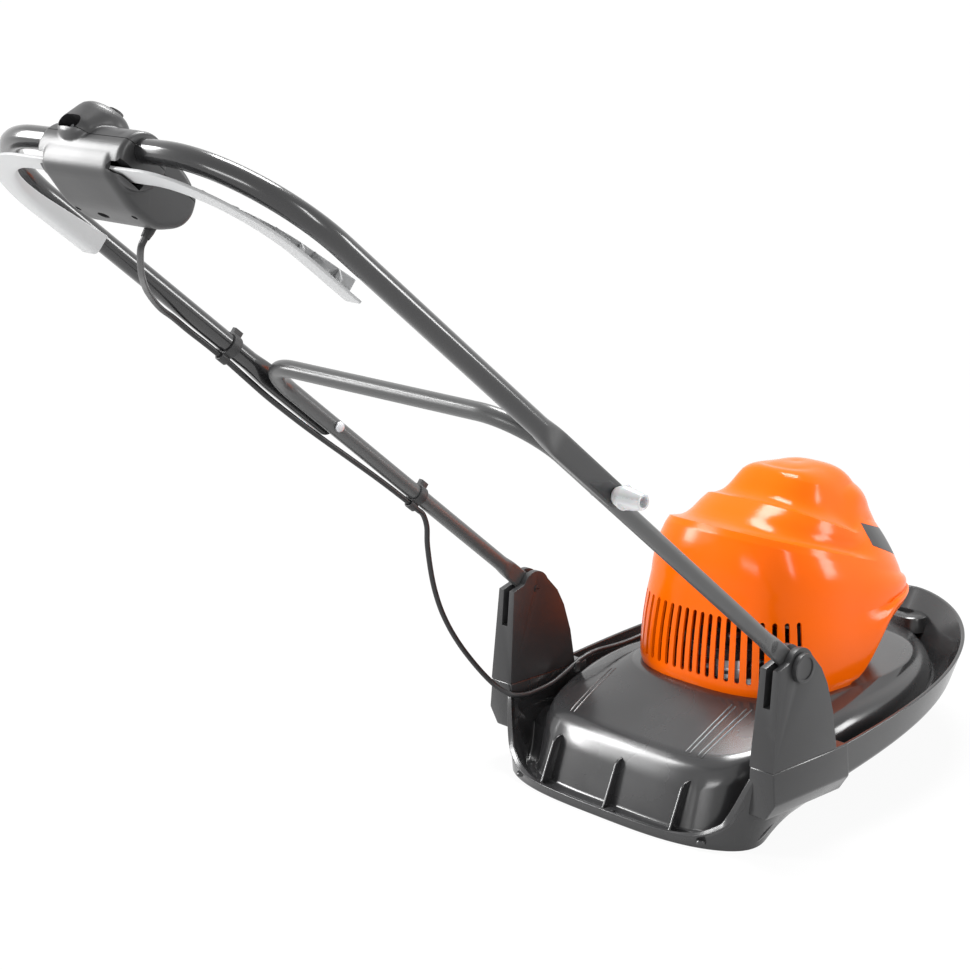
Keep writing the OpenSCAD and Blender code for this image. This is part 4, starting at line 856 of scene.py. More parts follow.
@dataclass
class Studio:
    """Camera, floor, lamps and world."""

    camera_place: tuple[float, float, float] = (1.64529, -2.01609, 1.02251)
    heading: tuple[float, float, float] = (-0.6961, 0.6733, -0.2495)
    lens: float = 82.288
    floor_half: float = 70.0
    glow_near: float = 1.6
    glow_far: float = 4.0
    glow_lift: float = 1.075
    glow_share: float = 0.93
    world_light: float = 0.22

    def camera(self) -> None:
        """Makes the scene's camera."""
        data = bpy.data.cameras.new("photo_camera")
        data.lens = self.lens
        data.sensor_width = 36.0
        data.clip_end = 250.0
        bpy.context.scene.camera = self._aimed(data, self.camera_place, Vector(self.heading))

    @staticmethod
    def _aimed(data: bpy.types.ID, place: Sequence[float], heading: Vector) -> Object:
        """Places a camera or a lamp.

        Args:
            data: its data, which it takes its name from.
            place: where it is, in metres.
            heading: the way it faces.

        Returns:
            The new object.
        """
        obj = Shape.linked(data.name, data)
        obj.location = place
        obj.rotation_mode = "QUATERNION"
        obj.rotation_quaternion = heading.to_track_quat("-Z", "Y")
        return obj

    def lit(self) -> None:
        """Makes the floor, the lamps and the world."""
        bpy.context.scene.view_settings.view_transform = "Standard"
        self._floor()
        self._world()
        self._lamp("left_softbox", (-2.2, -2.0, 1.5), (0.0, 0.0, 0.25), 0.5, 1.5, 84.0)
        self._lamp("right_softbox", (3.0, -0.4, 1.7), (0.0, 0.1, 0.25), 0.35, 1.4, 28.0)
        self._lamp("bow_softbox", (2.3, 2.4, 1.2), (0.0, 0.1, 0.25), 0.7, 1.2, 40.0)
        self._lamp("top_softbox", (-0.5, 0.6, 3.0), (0.0, 0.0, 0.2), 1.3, 0.9, 110.0)
        self._lamp("stern_softbox", (0.5, -3.0, 0.9), (0.0, 0.0, 0.1), 1.4, 0.4, 18.0)

    def _lamp(self, name: str, place: Sequence[float], target: Sequence[float], width: float, height: float,
              power: float) -> None:
        """Makes one soft box.

        Args:
            name: the lamp's name.
            place: where it hangs, in metres.
            target: the point that it faces.
            width: its width in metres.
            height: its height in metres.
            power: its power in watts.
        """
        data = bpy.data.lights.new(name, "AREA")
        data.shape = "RECTANGLE"
        data.size = width
        data.size_y = height
        data.energy = power
        self._aimed(data, place, Vector(target) - Vector(place))

    def _floor(self) -> None:
        """Makes the pale floor, which shows white to the camera and keeps the shadow."""
        h = self.floor_half * 1000.0
        obj = Shape.made("pale_floor", np.array([[-h, -h, 0], [h, -h, 0], [h, h, 0], [-h, h, 0]]),
                         [[0, 1, 2, 3]], Finishes.LEVER)
        made = bpy.data.materials.new("pale_floor")
        made.use_nodes = True
        tree = made.node_tree
        shader = tree.nodes["Principled BSDF"]
        feed(tree, shader, {"Base Color": (0.86, 0.86, 0.86, 1.0), "Roughness": 0.6,
                            "Specular IOR Level": 0.1})
        place = add_node(tree, "ShaderNodeTexCoord")
        away = add_node(tree, "ShaderNodeVectorMath", {0: place.outputs["Object"]}, operation="LENGTH")
        lift = add_node(tree, "ShaderNodeMapRange",
                        {"Value": away.outputs["Value"], "From Min": self.glow_near,
                         "From Max": self.glow_far, "To Min": 1.0, "To Max": self.glow_lift})
        glow = add_node(tree, "ShaderNodeEmission",
                        {"Color": (1.0, 1.0, 1.0, 1.0), "Strength": lift.outputs["Result"]})
        share = add_node(tree, "ShaderNodeMath", {0: self._seen(tree), 1: self.glow_share},
                         operation="MULTIPLY")
        mix = add_node(tree, "ShaderNodeMixShader",
                       {"Fac": share.outputs[0], 1: shader.outputs[0], 2: glow.outputs[0]})
        feed(tree, tree.nodes["Material Output"], {"Surface": mix.outputs[0]})
        Shape.painted(obj, made)

    @staticmethod
    def _seen(tree: Tree) -> bpy.types.NodeSocket:
        """Gives the mask of the rays that must see white.

        Args:
            tree: the node tree that uses it.

        Returns:
            A socket that is 1 for camera, glossy and transmission rays.
        """
        rays = add_node(tree, "ShaderNodeLightPath").outputs
        mirrored = add_node(tree, "ShaderNodeMath", {0: rays["Is Camera Ray"], 1: rays["Is Glossy Ray"]},
                            operation="MAXIMUM")
        through = add_node(tree, "ShaderNodeMath", {0: mirrored.outputs[0], 1: rays["Is Transmission Ray"]},
                           operation="MAXIMUM")
        return through.outputs[0]

    def _world(self) -> None:
        """Makes a world that is white where it is seen and softer as light."""
        world = bpy.data.worlds.new("studio")
        bpy.context.scene.world = world
        world.use_nodes = True
        tree = world.node_tree
        span = add_node(tree, "ShaderNodeMapRange",
                        {"Value": self._seen(tree), "To Min": self.world_light, "To Max": 1.0})
        feed(tree, tree.nodes["Background"],
             {"Color": (1.0, 1.0, 1.0, 1.0), "Strength": span.outputs["Result"]})


@dataclass
class Lead:
    """The lead from the switch box to the motor cover, in four stretches."""

    diameter: float = 6.5
    sides: int = 16
    arm_x: float = ARM_X
    leg_x: float = LEG_X
    upper_n: float = -15.65
    lower_n: float = -14.15

    def routes(self) -> dict[str, Array]:
        """Returns the route's points of each stretch, in mm."""
        on = Shape.on_handle
        a, b, u, w = -self.arm_x, -self.leg_x, self.upper_n, self.lower_n
        upper = on([[33, 896, -34], [33, 896, -42], [32.5, 895.5, -49], [24, 888, -56], [-20, 848, -57],
                    [-80, 797, -48], [-140, 744, -36], [-190, 691, -25], [-212, 656, -18],
                    [a, 625, u - 0.5], [a, 600, u], [a, 578, u]])
        fold = on([[a, 577.6, u], [a, 560, u], [-219, 530, -17], [-217, 490, -19], [-213, 440, -19.5],
                   [-209, 400, -19], [-207, 350, -17], [-206, 300, -15], [b, 255, w], [b, 226, w]])
        hanging = np.array([
            [-206.5, -320, 325], [-210, -316, 300], [-213, -306, 257], [-214, -294, 222], [-214, -279, 192],
            [-213, -261, 164], [-210, -241, 137], [-204, -222, 113], [-195, -210, 99], [-184, -200, 92],
            [-179, -182, 89], [-178, -158, 90], [-177.5, -134, 94], [-176.5, -112, 103],
            [-175.5, -98, 109.5], [-174.9, -90, 113], [-174.4, -82, 115.2],
        ], float)
        loop = np.vstack([on([[b, 225.6, w], [b, 216, w - 0.5]]), hanging])
        deck = np.array([[-174.38, -81.6, 115.31], [-173.9, -74, 117.4], [-172, -58, 119.5], [-169, -40, 120],
                         [-165, -18, 121.5], [-161, 4, 125], [-157, 20, 129.5], [-150, 31, 132],
                         [-141, 34, 132], [-131, 34, 132]], float)
        return {"lead_upper": upper, "lead_fold": fold, "lead_loop": loop, "lead_deck": deck}

    def build(self) -> None:
        """Makes the four stretches: the upper and deck cords each on its body, the fold and the loop on no
        body.
        """
        angles = Shape.angles(self.sides)
        ring = np.stack([np.cos(angles), np.sin(angles)], axis=1) * self.diameter / 2
        for node, route in self.routes().items():
            path = Shape.curve(route, 6)
            points, faces = Shape.swept(path, lambda i: ring, (0.31, 0.2, 0.93))
            obj = Shape.made("cord_" + node, points, faces, Finishes.RUBBER, 60.0)
            if node == "lead_fold":
                self._at(560)
                self._at(255)
                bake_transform(obj)
            elif node == "lead_loop":
                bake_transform(obj)
            else:
                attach(obj, Body.UPPER.value if node == "lead_upper" else Body.DECK.value)
            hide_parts(node)

    def _at(self, s: float) -> list[float]:
        """Returns the lead's place beside the handle at distance s, in metres."""
        return (Shape.on_handle([-self.leg_x, s, self.lower_n]) * MM).tolist()


@dataclass
class Hood:
    """The boat-shaped hood with its hump, gutter, gunwale and ground rim."""

    half_w: float = 221.0
    bow_y: float = 385.0
    rear_y: float = 244.0
    wall: float = 3.5
    gunwale_z: float = 101.0
    bow_rise: float = 46.0
    plate_z: float = 124.0
    shoulder_z: float = 112.0
    hole_r: float = 44.0
    widest_y: float = -86.0
    bow_across: float = 1.6
    bow_along: float = 2.9
    around: int = 288
    rounds: tuple[float, ...] = (0, 6, 6, 6, 7, 4, 4, 1.6, 1.6, 4, 1.2, 1.2, 4, 4, 8, 6, 6, 3, 0)

    def boat(self, a: Array, w: float, yf: float, yr: float, square: float = 3.2) -> tuple[Array, Array]:
        """Gives the boat outline.

        Args:
            a: angles round the outline.
            w: half width.
            yf: the bow end.
            yr: the stern end.
            square: how square the stern corners are.

        Returns:
            x and y for each angle, in mm.
        """
        c, s = np.cos(a), np.sin(a)
        ahead = s >= 0
        x = w * np.where(ahead, Shape.power(c, 2 / self.bow_across), Shape.power(c, 2 / square))
        y = np.where(ahead, self.widest_y + (yf - self.widest_y) * np.abs(s) ** (2 / self.bow_along),
                     self.widest_y - (self.widest_y - yr) * np.abs(s) ** (2 / square))
        return x, y

    def hump(self, a: Array, w: float, yf: float, yr: float) -> tuple[Array, Array]:
        """Gives the hump's outline, narrower towards the stern, as boat() does."""
        x, y = self.boat(a, w, yf, yr, 4.4)
        return x * (0.85 + 0.15 * Shape.smooth((y + 200) / 170)), y

    @staticmethod
    def oval(a: Array, w: float, yf: float, yr: float, ym: float = 62.0) -> tuple[Array, Array]:
        """Gives the cover's oval outline.

        Args:
            a: angles round the outline.
            w: half width.
            yf: the front end.
            yr: the rear end.
            ym: where it is widest.

        Returns:
            x and y for each angle, in mm.
        """
        c, s = np.cos(a), np.sin(a)
        e = 2 / 2.8
        x = w * Shape.power(c, e)
        y = ym + np.where(s >= 0, yf - ym, ym - yr) * Shape.power(s, e)
        return x, y

    def stern(self, y: Array) -> Array:
        """Returns 0 at the stern rim and 1 ahead of it."""
        return Shape.smooth((y + self.rear_y - 6) / 40)

    def chine(self, y: Array) -> Array:
        """Returns the height of the chine."""
        side = 41 + 63 * np.clip((y + 200) / 467, 0, 1)
        return 5 + (side - 5) * self.stern(y)

    def gunwale(self, y: Array) -> Array:
        """Returns the height of the gunwale."""
        ahead = self.gunwale_z + self.bow_rise * (y - self.widest_y) / (self.bow_y - self.widest_y)
        behind = 12 + (self.gunwale_z - 12) * Shape.smooth((y + self.rear_y - 16) / 40)
        return np.where(y >= self.widest_y, ahead, np.maximum(behind, self.chine(y) + 7))

    def floor(self, y: Array) -> Array:
        """Returns the height of the gutter's floor."""
        return self.chine(y) + 3 + 6 * self.stern(y)

    def shoulder(self, y: Array) -> Array:
        """Returns the height of the hump's shoulder."""
        rise = np.sqrt(np.clip((y + 196) / 196, 0, 1))
        return np.where(y > 0, self.shoulder_z, 70 + (self.shoulder_z - 70) * rise)

    def rim(self, a: Array, d: float) -> Array:
        """Returns the ground rim, drawn in by d."""
        x, y0 = self.boat(a, self.half_w - 6, self.bow_y - 23, 1 - self.rear_y)
        share = np.where(y0 < self.widest_y, 0.72 + 0.26 * Shape.smooth((self.widest_y - y0) / 130),
                         0.72 - 0.14 * np.clip((y0 - self.widest_y) / 170, 0, 1))
        y = np.where(y0 > self.widest_y, self.widest_y + (y0 - self.widest_y) * 0.85, y0)
        p = np.stack([x * share, y], axis=1)
        out = p - np.array([0.0, -40.0])
        p = p - d * out / np.linalg.norm(out, axis=1, keepdims=True)
        return np.column_stack([p, np.zeros(len(p))])

    def rings(self, a: Array) -> Array:
        """Returns the nineteen rings of the shell, from the plate's hole outwards and back inside."""
        w, f, r, t = self.half_w, self.bow_y, self.rear_y, self.wall

        def put(xy: tuple[Array, Array], z: Array) -> Array:
            """Returns an outline with its heights."""
            return np.column_stack([xy[0], xy[1], np.broadcast_to(z, xy[0].shape)])

        hole = (self.hole_r * np.cos(a), self.hole_r * np.sin(a))
        seat = self.oval(a, 145, 260, -88)
        top = [self.hump(a, 168, f - 73, -184), self.hump(a, 180, f - 59, -195),
               self.hump(a, 187, f - 51, -203)]
        tops = [put(p, self.shoulder(p[1]) + d) for p, d in zip(top, (4, -1, -13))]
        gutter = self.boat(a, w - 11, f - 29, 8 - r)
        low = 8 + (self.floor(gutter[1]) - 8) * Shape.smooth((gutter[1] + 195) / 60)
        six = put((gutter[0] * (1 - 0.115 * Shape.smooth((-120 - gutter[1]) / 60)), gutter[1]), low)
        toe = self.hump(a, 191, f - 49, 23 - r)
        five = put(toe, np.minimum(six[:, 2], self.shoulder(toe[1]) - 26))
        inner = self.boat(a, w - 4.5, f - 5, 4.5 - r)
        outer = self.boat(a, w, f, -r)
        chine = self.boat(a, w - 6, f - 23, 1 - r)
        low = self.boat(a, w - 13, f - 32, 7 - r)
        share = Shape.smooth((np.sin(a) - 0.02) / 0.25)[:, None]
        under = put(low, six[:, 2] - t) * (1 - share)
        under = under + put(self.hump(a, 188, f - 53, -200), five[:, 2] - t - 4) * share
        return np.array([
            put(hole, self.plate_z), put(seat, self.plate_z), *tops, five, six,
            put(inner, self.gunwale(inner[1])), put(outer, self.gunwale(outer[1])),
            put(chine, self.chine(chine[1])), self.rim(a, 0), self.rim(a, 4), under,
            put(self.hump(a, 187.5, f - 53, 27 - r), five[:, 2] - t),
            put(self.hump(a, 183.5, f - 55, -199), tops[2][:, 2] - 2),
            put(self.hump(a, 177, f - 63, -191), tops[1][:, 2] - t),
            put(self.hump(a, 167, f - 74, -182), tops[0][:, 2] - t),
            put(self.oval(a, 144, 259, -87), self.plate_z - t), put(hole, self.plate_z - t),
        ])

    def build(self) -> None:
        """Makes the shell and what is moulded onto it."""
        a = Shape.halfway(self.around)
        rings = Shape.rounded(self.rings(a), self.rounds, 4)
        points, faces = Shape.lofted(rings, loop=True)
        shell = Shape.crisp(Shape.made("hood_shell", points, faces, Finishes.HOOD, 50.0))
        ridden(shell, Body.DECK, "deck_hood", slot="hood_plastic")
        self.seats()
        self.ribs()
        self.bow_boss()
        self.beads(shell)

    def seats(self) -> None:
        """Makes the raised seats below the brackets."""
        for side, label in ((-1, "left"), (1, "right")):
            outline = [[LEG_X - 18, 46], [LEG_X + 7.5, 46], [LEG_X + 20.5, 66], [LEG_X + 17, 104],
                       [LEG_X - 17, 104]]
            flat = [[side * x, z] for x, z in outline]
            obj = Shape.made(f"hood_{label}_seat", *Shape.prism(flat, 1, -198, -62), Finishes.HOOD)
            Shape.bevelled(obj, 2.2)
            ridden(obj, Body.DECK, slot="hood_plastic")

    def ribs(self) -> None:
        """Makes the stern ribs and the small nubs in the gutter."""
        outline = [[-216.5, 7.5], [-235, 7], [-231, 13], [-212, 57], [-207, 61], [-196, 62.5]]
        rib = Shape.made("rib", *Shape.prism(outline, 0, -1.5, 1.5), Finishes.HOOD)
        Shape.bevelled(rib, 0.8)
        profile = [(0.0, 0.0), (6.0, 0.0), (6.0, 3.0), (5.0, 4.4), (0.0, 4.8)]
        nub = Shape.made("nub", *Shape.lofted(Shape.turned(profile, 24), caps=False), Finishes.HOOD)
        for name, shape, places in (
            ("hood_stern_ribs", rib, [[-102, 0, 0], [0, 0, 0], [102, 0, 0]]),
            ("hood_gutter_nubs", nub, [[-140, -228, 7], [14, -235, 7], [146, -227, 7]]),
        ):
            obj = TREES.placed(name, shape, places, [[0, 0, 0]] * len(places), Finishes.HOOD)
            ridden(obj, Body.DECK, slot="hood_plastic")

    def bow_boss(self) -> None:
        """Makes the oval boss in the bow with its finger pocket."""
        y0 = self.bow_y - 44
        steps = [(4, 104), (1.5, 112), (0, 118), (-1, 122), (-4, 124), (-8, 124.6)]
        rings = [np.insert(Shape.stadium(20 + grow, 23, 72) + (0, y0), 2, z, axis=1) for grow, z in steps]
        boss = Shape.made("hood_bow_boss", *Shape.lofted(np.array(rings)), Finishes.HOOD)
        pocket = Shape.prism(Shape.stadium(8, 14, 72) + (0, y0 + 4), 2, 112, 132)
        Shape.cut(boss, [Shape.tool(*pocket)])
        Shape.bevelled(boss, 1.0, 40.0)
        ridden(boss, Body.DECK, slot="hood_plastic")

    def beads(self, shell: Object) -> None:
        """Makes the raised lines on the rear slope of the hump.

        Args:
            shell: the shell that they lie on.
        """
        lines = [
            ("hood_left_line_a", (-106, -178), (-126, -84)), ("hood_left_line_b", (-100, -178), (-119, -84)),
            ("hood_right_line_a", (80, -180), (74, -92)), ("hood_right_line_b", (86, -180), (80, -92)),
            ("hood_right_line_c", (98, -180), (93, -88)), ("hood_right_line_d", (104, -180), (99, -86)),
        ]
        section = np.array([[-1.5, -1.2], [1.5, -1.2], [1.3, 0.3], [0.6, 0.8], [-0.6, 0.8], [-1.3, 0.3]])
        for name, start, end in lines:
            path = []
            for t in np.linspace(0, 1, 28):
                x, y = start[0] + (end[0] - start[0]) * t, start[1] + (end[1] - start[1]) * t
                hit, place, _, _ = shell.ray_cast((x * MM, y * MM, 0.5), (0, 0, -1))
                path.append([x, y, (place.z if hit else 0.1) / MM])
            swept = Shape.swept(np.array(path), lambda i: section, (0, 0, 1))
            ridden(Shape.made(name, *swept, Finishes.HOOD, 60.0), Body.DECK, slot="hood_plastic")


@dataclass
class Brackets:
    """The two handle brackets with their pivot pins."""

    post_round: float = 1.4
    pin_round: float = 0.8

    def build(self) -> None:
        """Makes both brackets, both pins and the hook."""
        rows = []
        for side in ("left", "right"):
            rows.append((f"{side}_handle_bracket", f"{side}_bracket_post", self.post_round))
            rows.append((f"{side}_pivot_pin", f"{side}_bracket_pin", self.pin_round))
        rows.append(("lead_hook", "bracket_lead_hook", self.pin_round))
        for node, name, width in rows:
            carried(node, name, Body.DECK, Finishes.BRACKET, width, "hood_plastic")


@dataclass
class Cover:
    """The helmet-shaped motor cover with its vents and front insert."""

    half_w: float = 139.0
    rear_y: float = -82.0
    front_y: float = 252.0
    top_z: float = 367.0
    plate_z: float = 124.0
    wall: float = 3.0
    around: int = 252
    vents: int = 21
    vent_w: float = 6.0
    vent_spread: float = 130.0
    rounds: tuple[float, ...] = (9, 0, 4.0, 0, 0, 1.6, 0, 3.0, 1.0, 0.8)
    swells: tuple[float, ...] = (2.0, 2.0, -2.5, 0.0, 1.5, 0.0, 3.5, 3.0, 0.0, 0.0)
    side_swells: tuple[float, ...] = (2.0, 3.5, -4.0, 0.0, -8.0, 0.0, 3.5, 3.0, 0.0, 0.0)
    front_swells: tuple[float, ...] = (2.0, 5.0, 4.0, 0.0, 2.0, 0.0, 3.5, 3.0, 0.0, 0.0)

    @staticmethod
    def ahead(y: Array) -> Array:
        """Returns 0 over the rear of the dome and 1 over its front."""
        return Shape.smooth((y - 110) / 60)

    def outline(self, k: int, a: Array, d: float) -> tuple[Array, Array]:
        """Gives one ring's outline.

        Args:
            k: the ring's number, from the crown down.
            a: angles round.
            d: how far it is drawn in.

        Returns:
            x and y for each angle, in mm.
        """
        w, f, r = self.half_w, self.front_y, self.rear_y
        table = [(30, 148, 72, 108), (57, 194, 51, 100), (84, 217, 17, 100), (92, 226, 9, 100),
                 (113, f - 4, -52, 80), (117, f - 1, -57, 78), (w - 9, f, -69, 62), (w, f - 6, r, 62),
                 (w - 1, f - 12, r + 1, 62)]
        if k < 9:
            half, front, rear, mid = table[k]
            x, y = Hood.oval(a, half - d, front - d, rear + d, mid)
            narrow = {1: 52 / 57, 2: 68 / 84, 3: 75 / 92}.get(k, 1.0)
            return x * (1 + (narrow - 1) * self.ahead(y)), y
        x, y = Hood.oval(a, w - 2 - 2 * d, f - 66 - 2 * d, r + 2 + 2 * d)
        return x * (1 - 0.26 * Shape.smooth((y - 50) / 75)), y

    def height(self, k: int, y: Array, d: float) -> Array:
        """Gives one ring's height.

        Args:
            k: the ring's number.
            y: the ring's places along the mower, not drawn in.
            d: how far the ring is drawn in.

        Returns:
            The height for each place, in mm.
        """
        visor = self.plate_z + 70 * Shape.smooth((y - 60) / 100)
        ledge = np.maximum(316 - 0.32 * (y + 50), 222)
        shelf = 337 - 0.35 * (y - 50)
        step = 342 - 0.43 * y
        ahead = self.ahead(y)
        crown = (362 - 0.3 * (y - 52)) * (1 - ahead) + (self.top_z - 10 - 0.19 * (y - 65)) * ahead
        table = [
            self.top_z - 2 - 0.05 * (y - 108) - d, crown - 0.7 * d,
            (step + 3) * (1 - ahead) + (shelf + 16) * ahead - 0.3 * d,
            step * (1 - ahead) + shelf * ahead - 0.8 * d, ledge - 0.7 * d, ledge - 9,
            np.maximum(np.maximum(250 - 0.28 * (y + 65), 212) - 6, visor + 13),
            visor + 9 + 0.4 * d, visor + 4 + d,
            np.full_like(y, self.plate_z + 0.05),
        ]
        return table[k]

    def side(self, a: Array, d: float) -> Array:
        """Returns the rings of one wall side, swelled between its creases, from the apex down."""
        rings = [np.tile([0.0, 112.0, self.top_z - d], (len(a), 1))]
        for k in range(10):
            x, y = self.outline(k, a, d)
            rings.append(np.column_stack([x, y, self.height(k, self.outline(k, a, 0)[1], d)]))
        corners = np.array(rings)
        centre = np.array([0.0, 90.0, 190.0])
        made, reach = [], []
        for k in range(len(corners)):
            made.append(corners[k])
            reach.append(0.0 if k == 0 else self.rounds[k - 1])
            if k + 1 < len(corners) and self.swells[k] != 0:
                y = corners[k][:, 1:2]
                ahead, beside = Shape.smooth((y - 90) / 70), Shape.smooth((y + 25) / 50)
                swell = self.swells[k] * (1 - beside) + self.side_swells[k] * (beside - ahead)
                swell = swell + self.front_swells[k] * ahead
                for t in (0.25, 0.5, 0.75):
                    p = corners[k] * (1 - t) + corners[k + 1] * t
                    run = corners[k + 1] - corners[k]
                    round_run = np.roll(p, -1, axis=0) - np.roll(p, 1, axis=0)
                    out = np.cross(round_run, run)
                    out /= np.maximum(np.linalg.norm(out, axis=1, keepdims=True), 1e-9)
                    flip = np.sign(np.sum(out * (p - centre), axis=1, keepdims=True))
                    bow = np.where(swell < 0, 6.75 * t * t * (1 - t), 4 * t * (1 - t))
                    made.append(p + out * flip * swell * bow)
                    reach.append(9.0)
        return Shape.rounded(np.array(made), reach, 3)

    def shell(self, name: str) -> Object:
        """Returns the closed shell without its openings."""
        a = Shape.halfway(self.around)
        rings = np.concatenate([self.side(a, 0.0), self.side(a, self.wall)[::-1]])
        return Shape.made(name, *Shape.lofted(rings, caps=False), Finishes.COVER, 50.0)

    def vent_tool(self) -> Object:
        """Returns the fan of round-ended slots as one cutting solid."""
        half, low, high = self.vent_w / 2, self.plate_z + 15, self.plate_z + 92
        arc = np.linspace(0, math.pi, 9)
        ring = [[half * math.cos(w), high - half + half * math.sin(w)] for w in arc]
        ring += [[-half * math.cos(w), low + half - half * math.sin(w)] for w in arc]
        slot = Shape.tool(*Shape.prism(ring, 0, 70, 190))
        first, step = 270 - self.vent_spread / 2, self.vent_spread / (self.vents - 1)
        return TREES.fanned(slot, self.vents, first, step, (0, 30, 0), Finishes.COVER)

    @staticmethod
    def insert_tool(gap: float) -> Object:
        """Returns the insert's seat as a cutting solid, grown by a gap."""
        outline = [[142 - gap, 273 - gap], [300, 206.6 - gap], [300, 242.5 + gap], [142 - gap, 297.8 + gap]]
        return Shape.tool(*Shape.prism(outline, 0, -139, 139))

    def build(self) -> None:
        """Makes the cover, its insert and its grommet."""
        cover = self.shell("cover_shell")
        bore = Shape.turned([(6.1, -30), (6.1, 20)], 32, (2, 0, 1), (-139, 34, 132))
        tools = [self.vent_tool(), self.insert_tool(0.3), Shape.tool(*Shape.lofted(bore))]
        Shape.crisp(Shape.cut(cover, tools, sharp=13.0))
        ridden(cover, Body.DECK, "motor_cover", slot="orange_plastic")
        insert = self.shell("cover_insert")
        Shape.cut(insert, [self.insert_tool(0.0)], Cut.KEEP)
        Shape.painted(insert, Finishes.BRACKET.material())
        ridden(insert, Body.DECK, "cover_front_insert", slot="hood_plastic")
        carried("cover_grommet", "cover_lead_grommet", Body.DECK, Finishes.RUBBER, 0.8, "rubber")


@dataclass
class Tube:
    """A tube bent into a U, with flattened ends."""

    name: str
    node: str
    body: Body
    finish: Finish
    diameter: float
    half_w: float
    end_s: float
    bar_s: float
    bend: float
    flat_t: float
    flat_w: float
    flat_from: float
    flat_to: float
    sides: int = 40

    def path(self) -> Array:
        """Returns the middle line in (x, s, n), from the left end to the right."""
        stops = [self.end_s - self.flat_w / 2 + 0.01]
        stops += list(self.end_s - self.flat_w / 2 * np.cos(np.linspace(0.12, math.pi / 2, 9)))
        stops += list(np.linspace(self.end_s + 4, self.flat_from, 5))
        stops += list(np.linspace(self.flat_from, self.flat_to, 14)[1:])
        stops += list(np.linspace(self.flat_to, self.bar_s - self.bend, 12)[1:])
        return Shape.hoop(stops, self.half_w, self.bar_s, self.bend, 28)

    def build(self) -> None:
        """Makes the tube and lets it ride."""
        path = self.path()
        a = Shape.angles(self.sides)

        def section(i: int) -> Array:
            """Returns the section at one point, flat near the ends and round elsewhere."""
            x, s, _ = path[i]
            on_leg = abs(abs(x) - self.half_w) < 1e-6
            share = (s - self.flat_from) / (self.flat_to - self.flat_from)
            k = float(Shape.smooth(share)) if on_leg else 1.0
            side = self.flat_t / 2 * (1 - k) + self.diameter / 2 * k
            high = self.flat_w / 2 * (1 - k) + self.diameter / 2 * k
            if on_leg and s < self.end_s:
                high = math.sqrt(max(high ** 2 - (s - self.end_s) ** 2, 0.01))
            e = 2.0 / (2.0 + 3.5 * (1 - k))
            return np.column_stack([Shape.power(np.cos(a), e) * side, Shape.power(np.sin(a), e) * high])

        points, faces = Shape.swept(path, section, (0, 0, 1))
        obj = Shape.made(self.name, Shape.on_handle(points), faces, self.finish, 45.0)
        ridden(obj, self.body, self.node, slot="tube_paint")


@dataclass
class FoldJoint:
    """Bolts, hand knobs and lead clips on the handle."""

    fold_s: float = FOLD_S
    knob_x0: float = 223.9
    knob_len: float = 36.0
    knob_d: float = 26.0

    def knob(self, side: int) -> Object:
        """Returns one hand knob, a cone with two grip flats and a recess in its end.

        Args:
            side: 1 for the right knob, -1 for the left.
        """
        d, n = self.knob_d, self.knob_len
        profile = [(0.0, 0.0), (d * 0.33, 0.0), (d * 0.35, 0.8), (d * 0.49, n * 0.27), (d * 0.5, n * 0.31),
                   (d * 0.49, n * 0.36), (d * 0.42, n * 0.66), (d * 0.33, n * 0.93), (d * 0.305, n * 0.985),
                   (d * 0.27, n), (d * 0.22, n - 0.4), (d * 0.2, n - 2.0), (d * 0.2, 26.0), (0.0, 25.4)]
        a = Shape.angles(64)
        rings = []
        for r, h in profile:
            flat = d * 0.36 if h > n * 0.33 and r > d * 0.28 else d
            across = side * np.full(len(a), self.knob_x0 + h)
            up = np.clip(r * np.sin(a), -flat, flat)
            rings.append(np.column_stack([across, self.fold_s + r * np.cos(a), up]))
        label = "right" if side > 0 else "left"
        points, faces = Shape.lofted(np.array(rings), caps=False)
        return Shape.made(f"{label}_knob_cone", Shape.on_handle(points), faces, Finishes.KNOB, 35.0)

    def build(self) -> None:
        """Makes knobs, bolts and clips."""
        ridden(self.knob(1), Body.RIGHT_KNOB, "right_hand_knob", slot="knob_plastic")
        ridden(self.knob(-1), Body.LEFT_KNOB, "left_hand_knob", slot="knob_plastic")
        carried("fold_bolts", "fold_bolt_pair", Body.LOWER, Finishes.STEEL, 1.2, "steel")
        carried("lower_lead_clip", "lower_clip", Body.LOWER, Finishes.INNER, 0.8, "rubber")
        carried("upper_lead_clip", "upper_clip", Body.UPPER, Finishes.INNER, 0.8, "rubber")


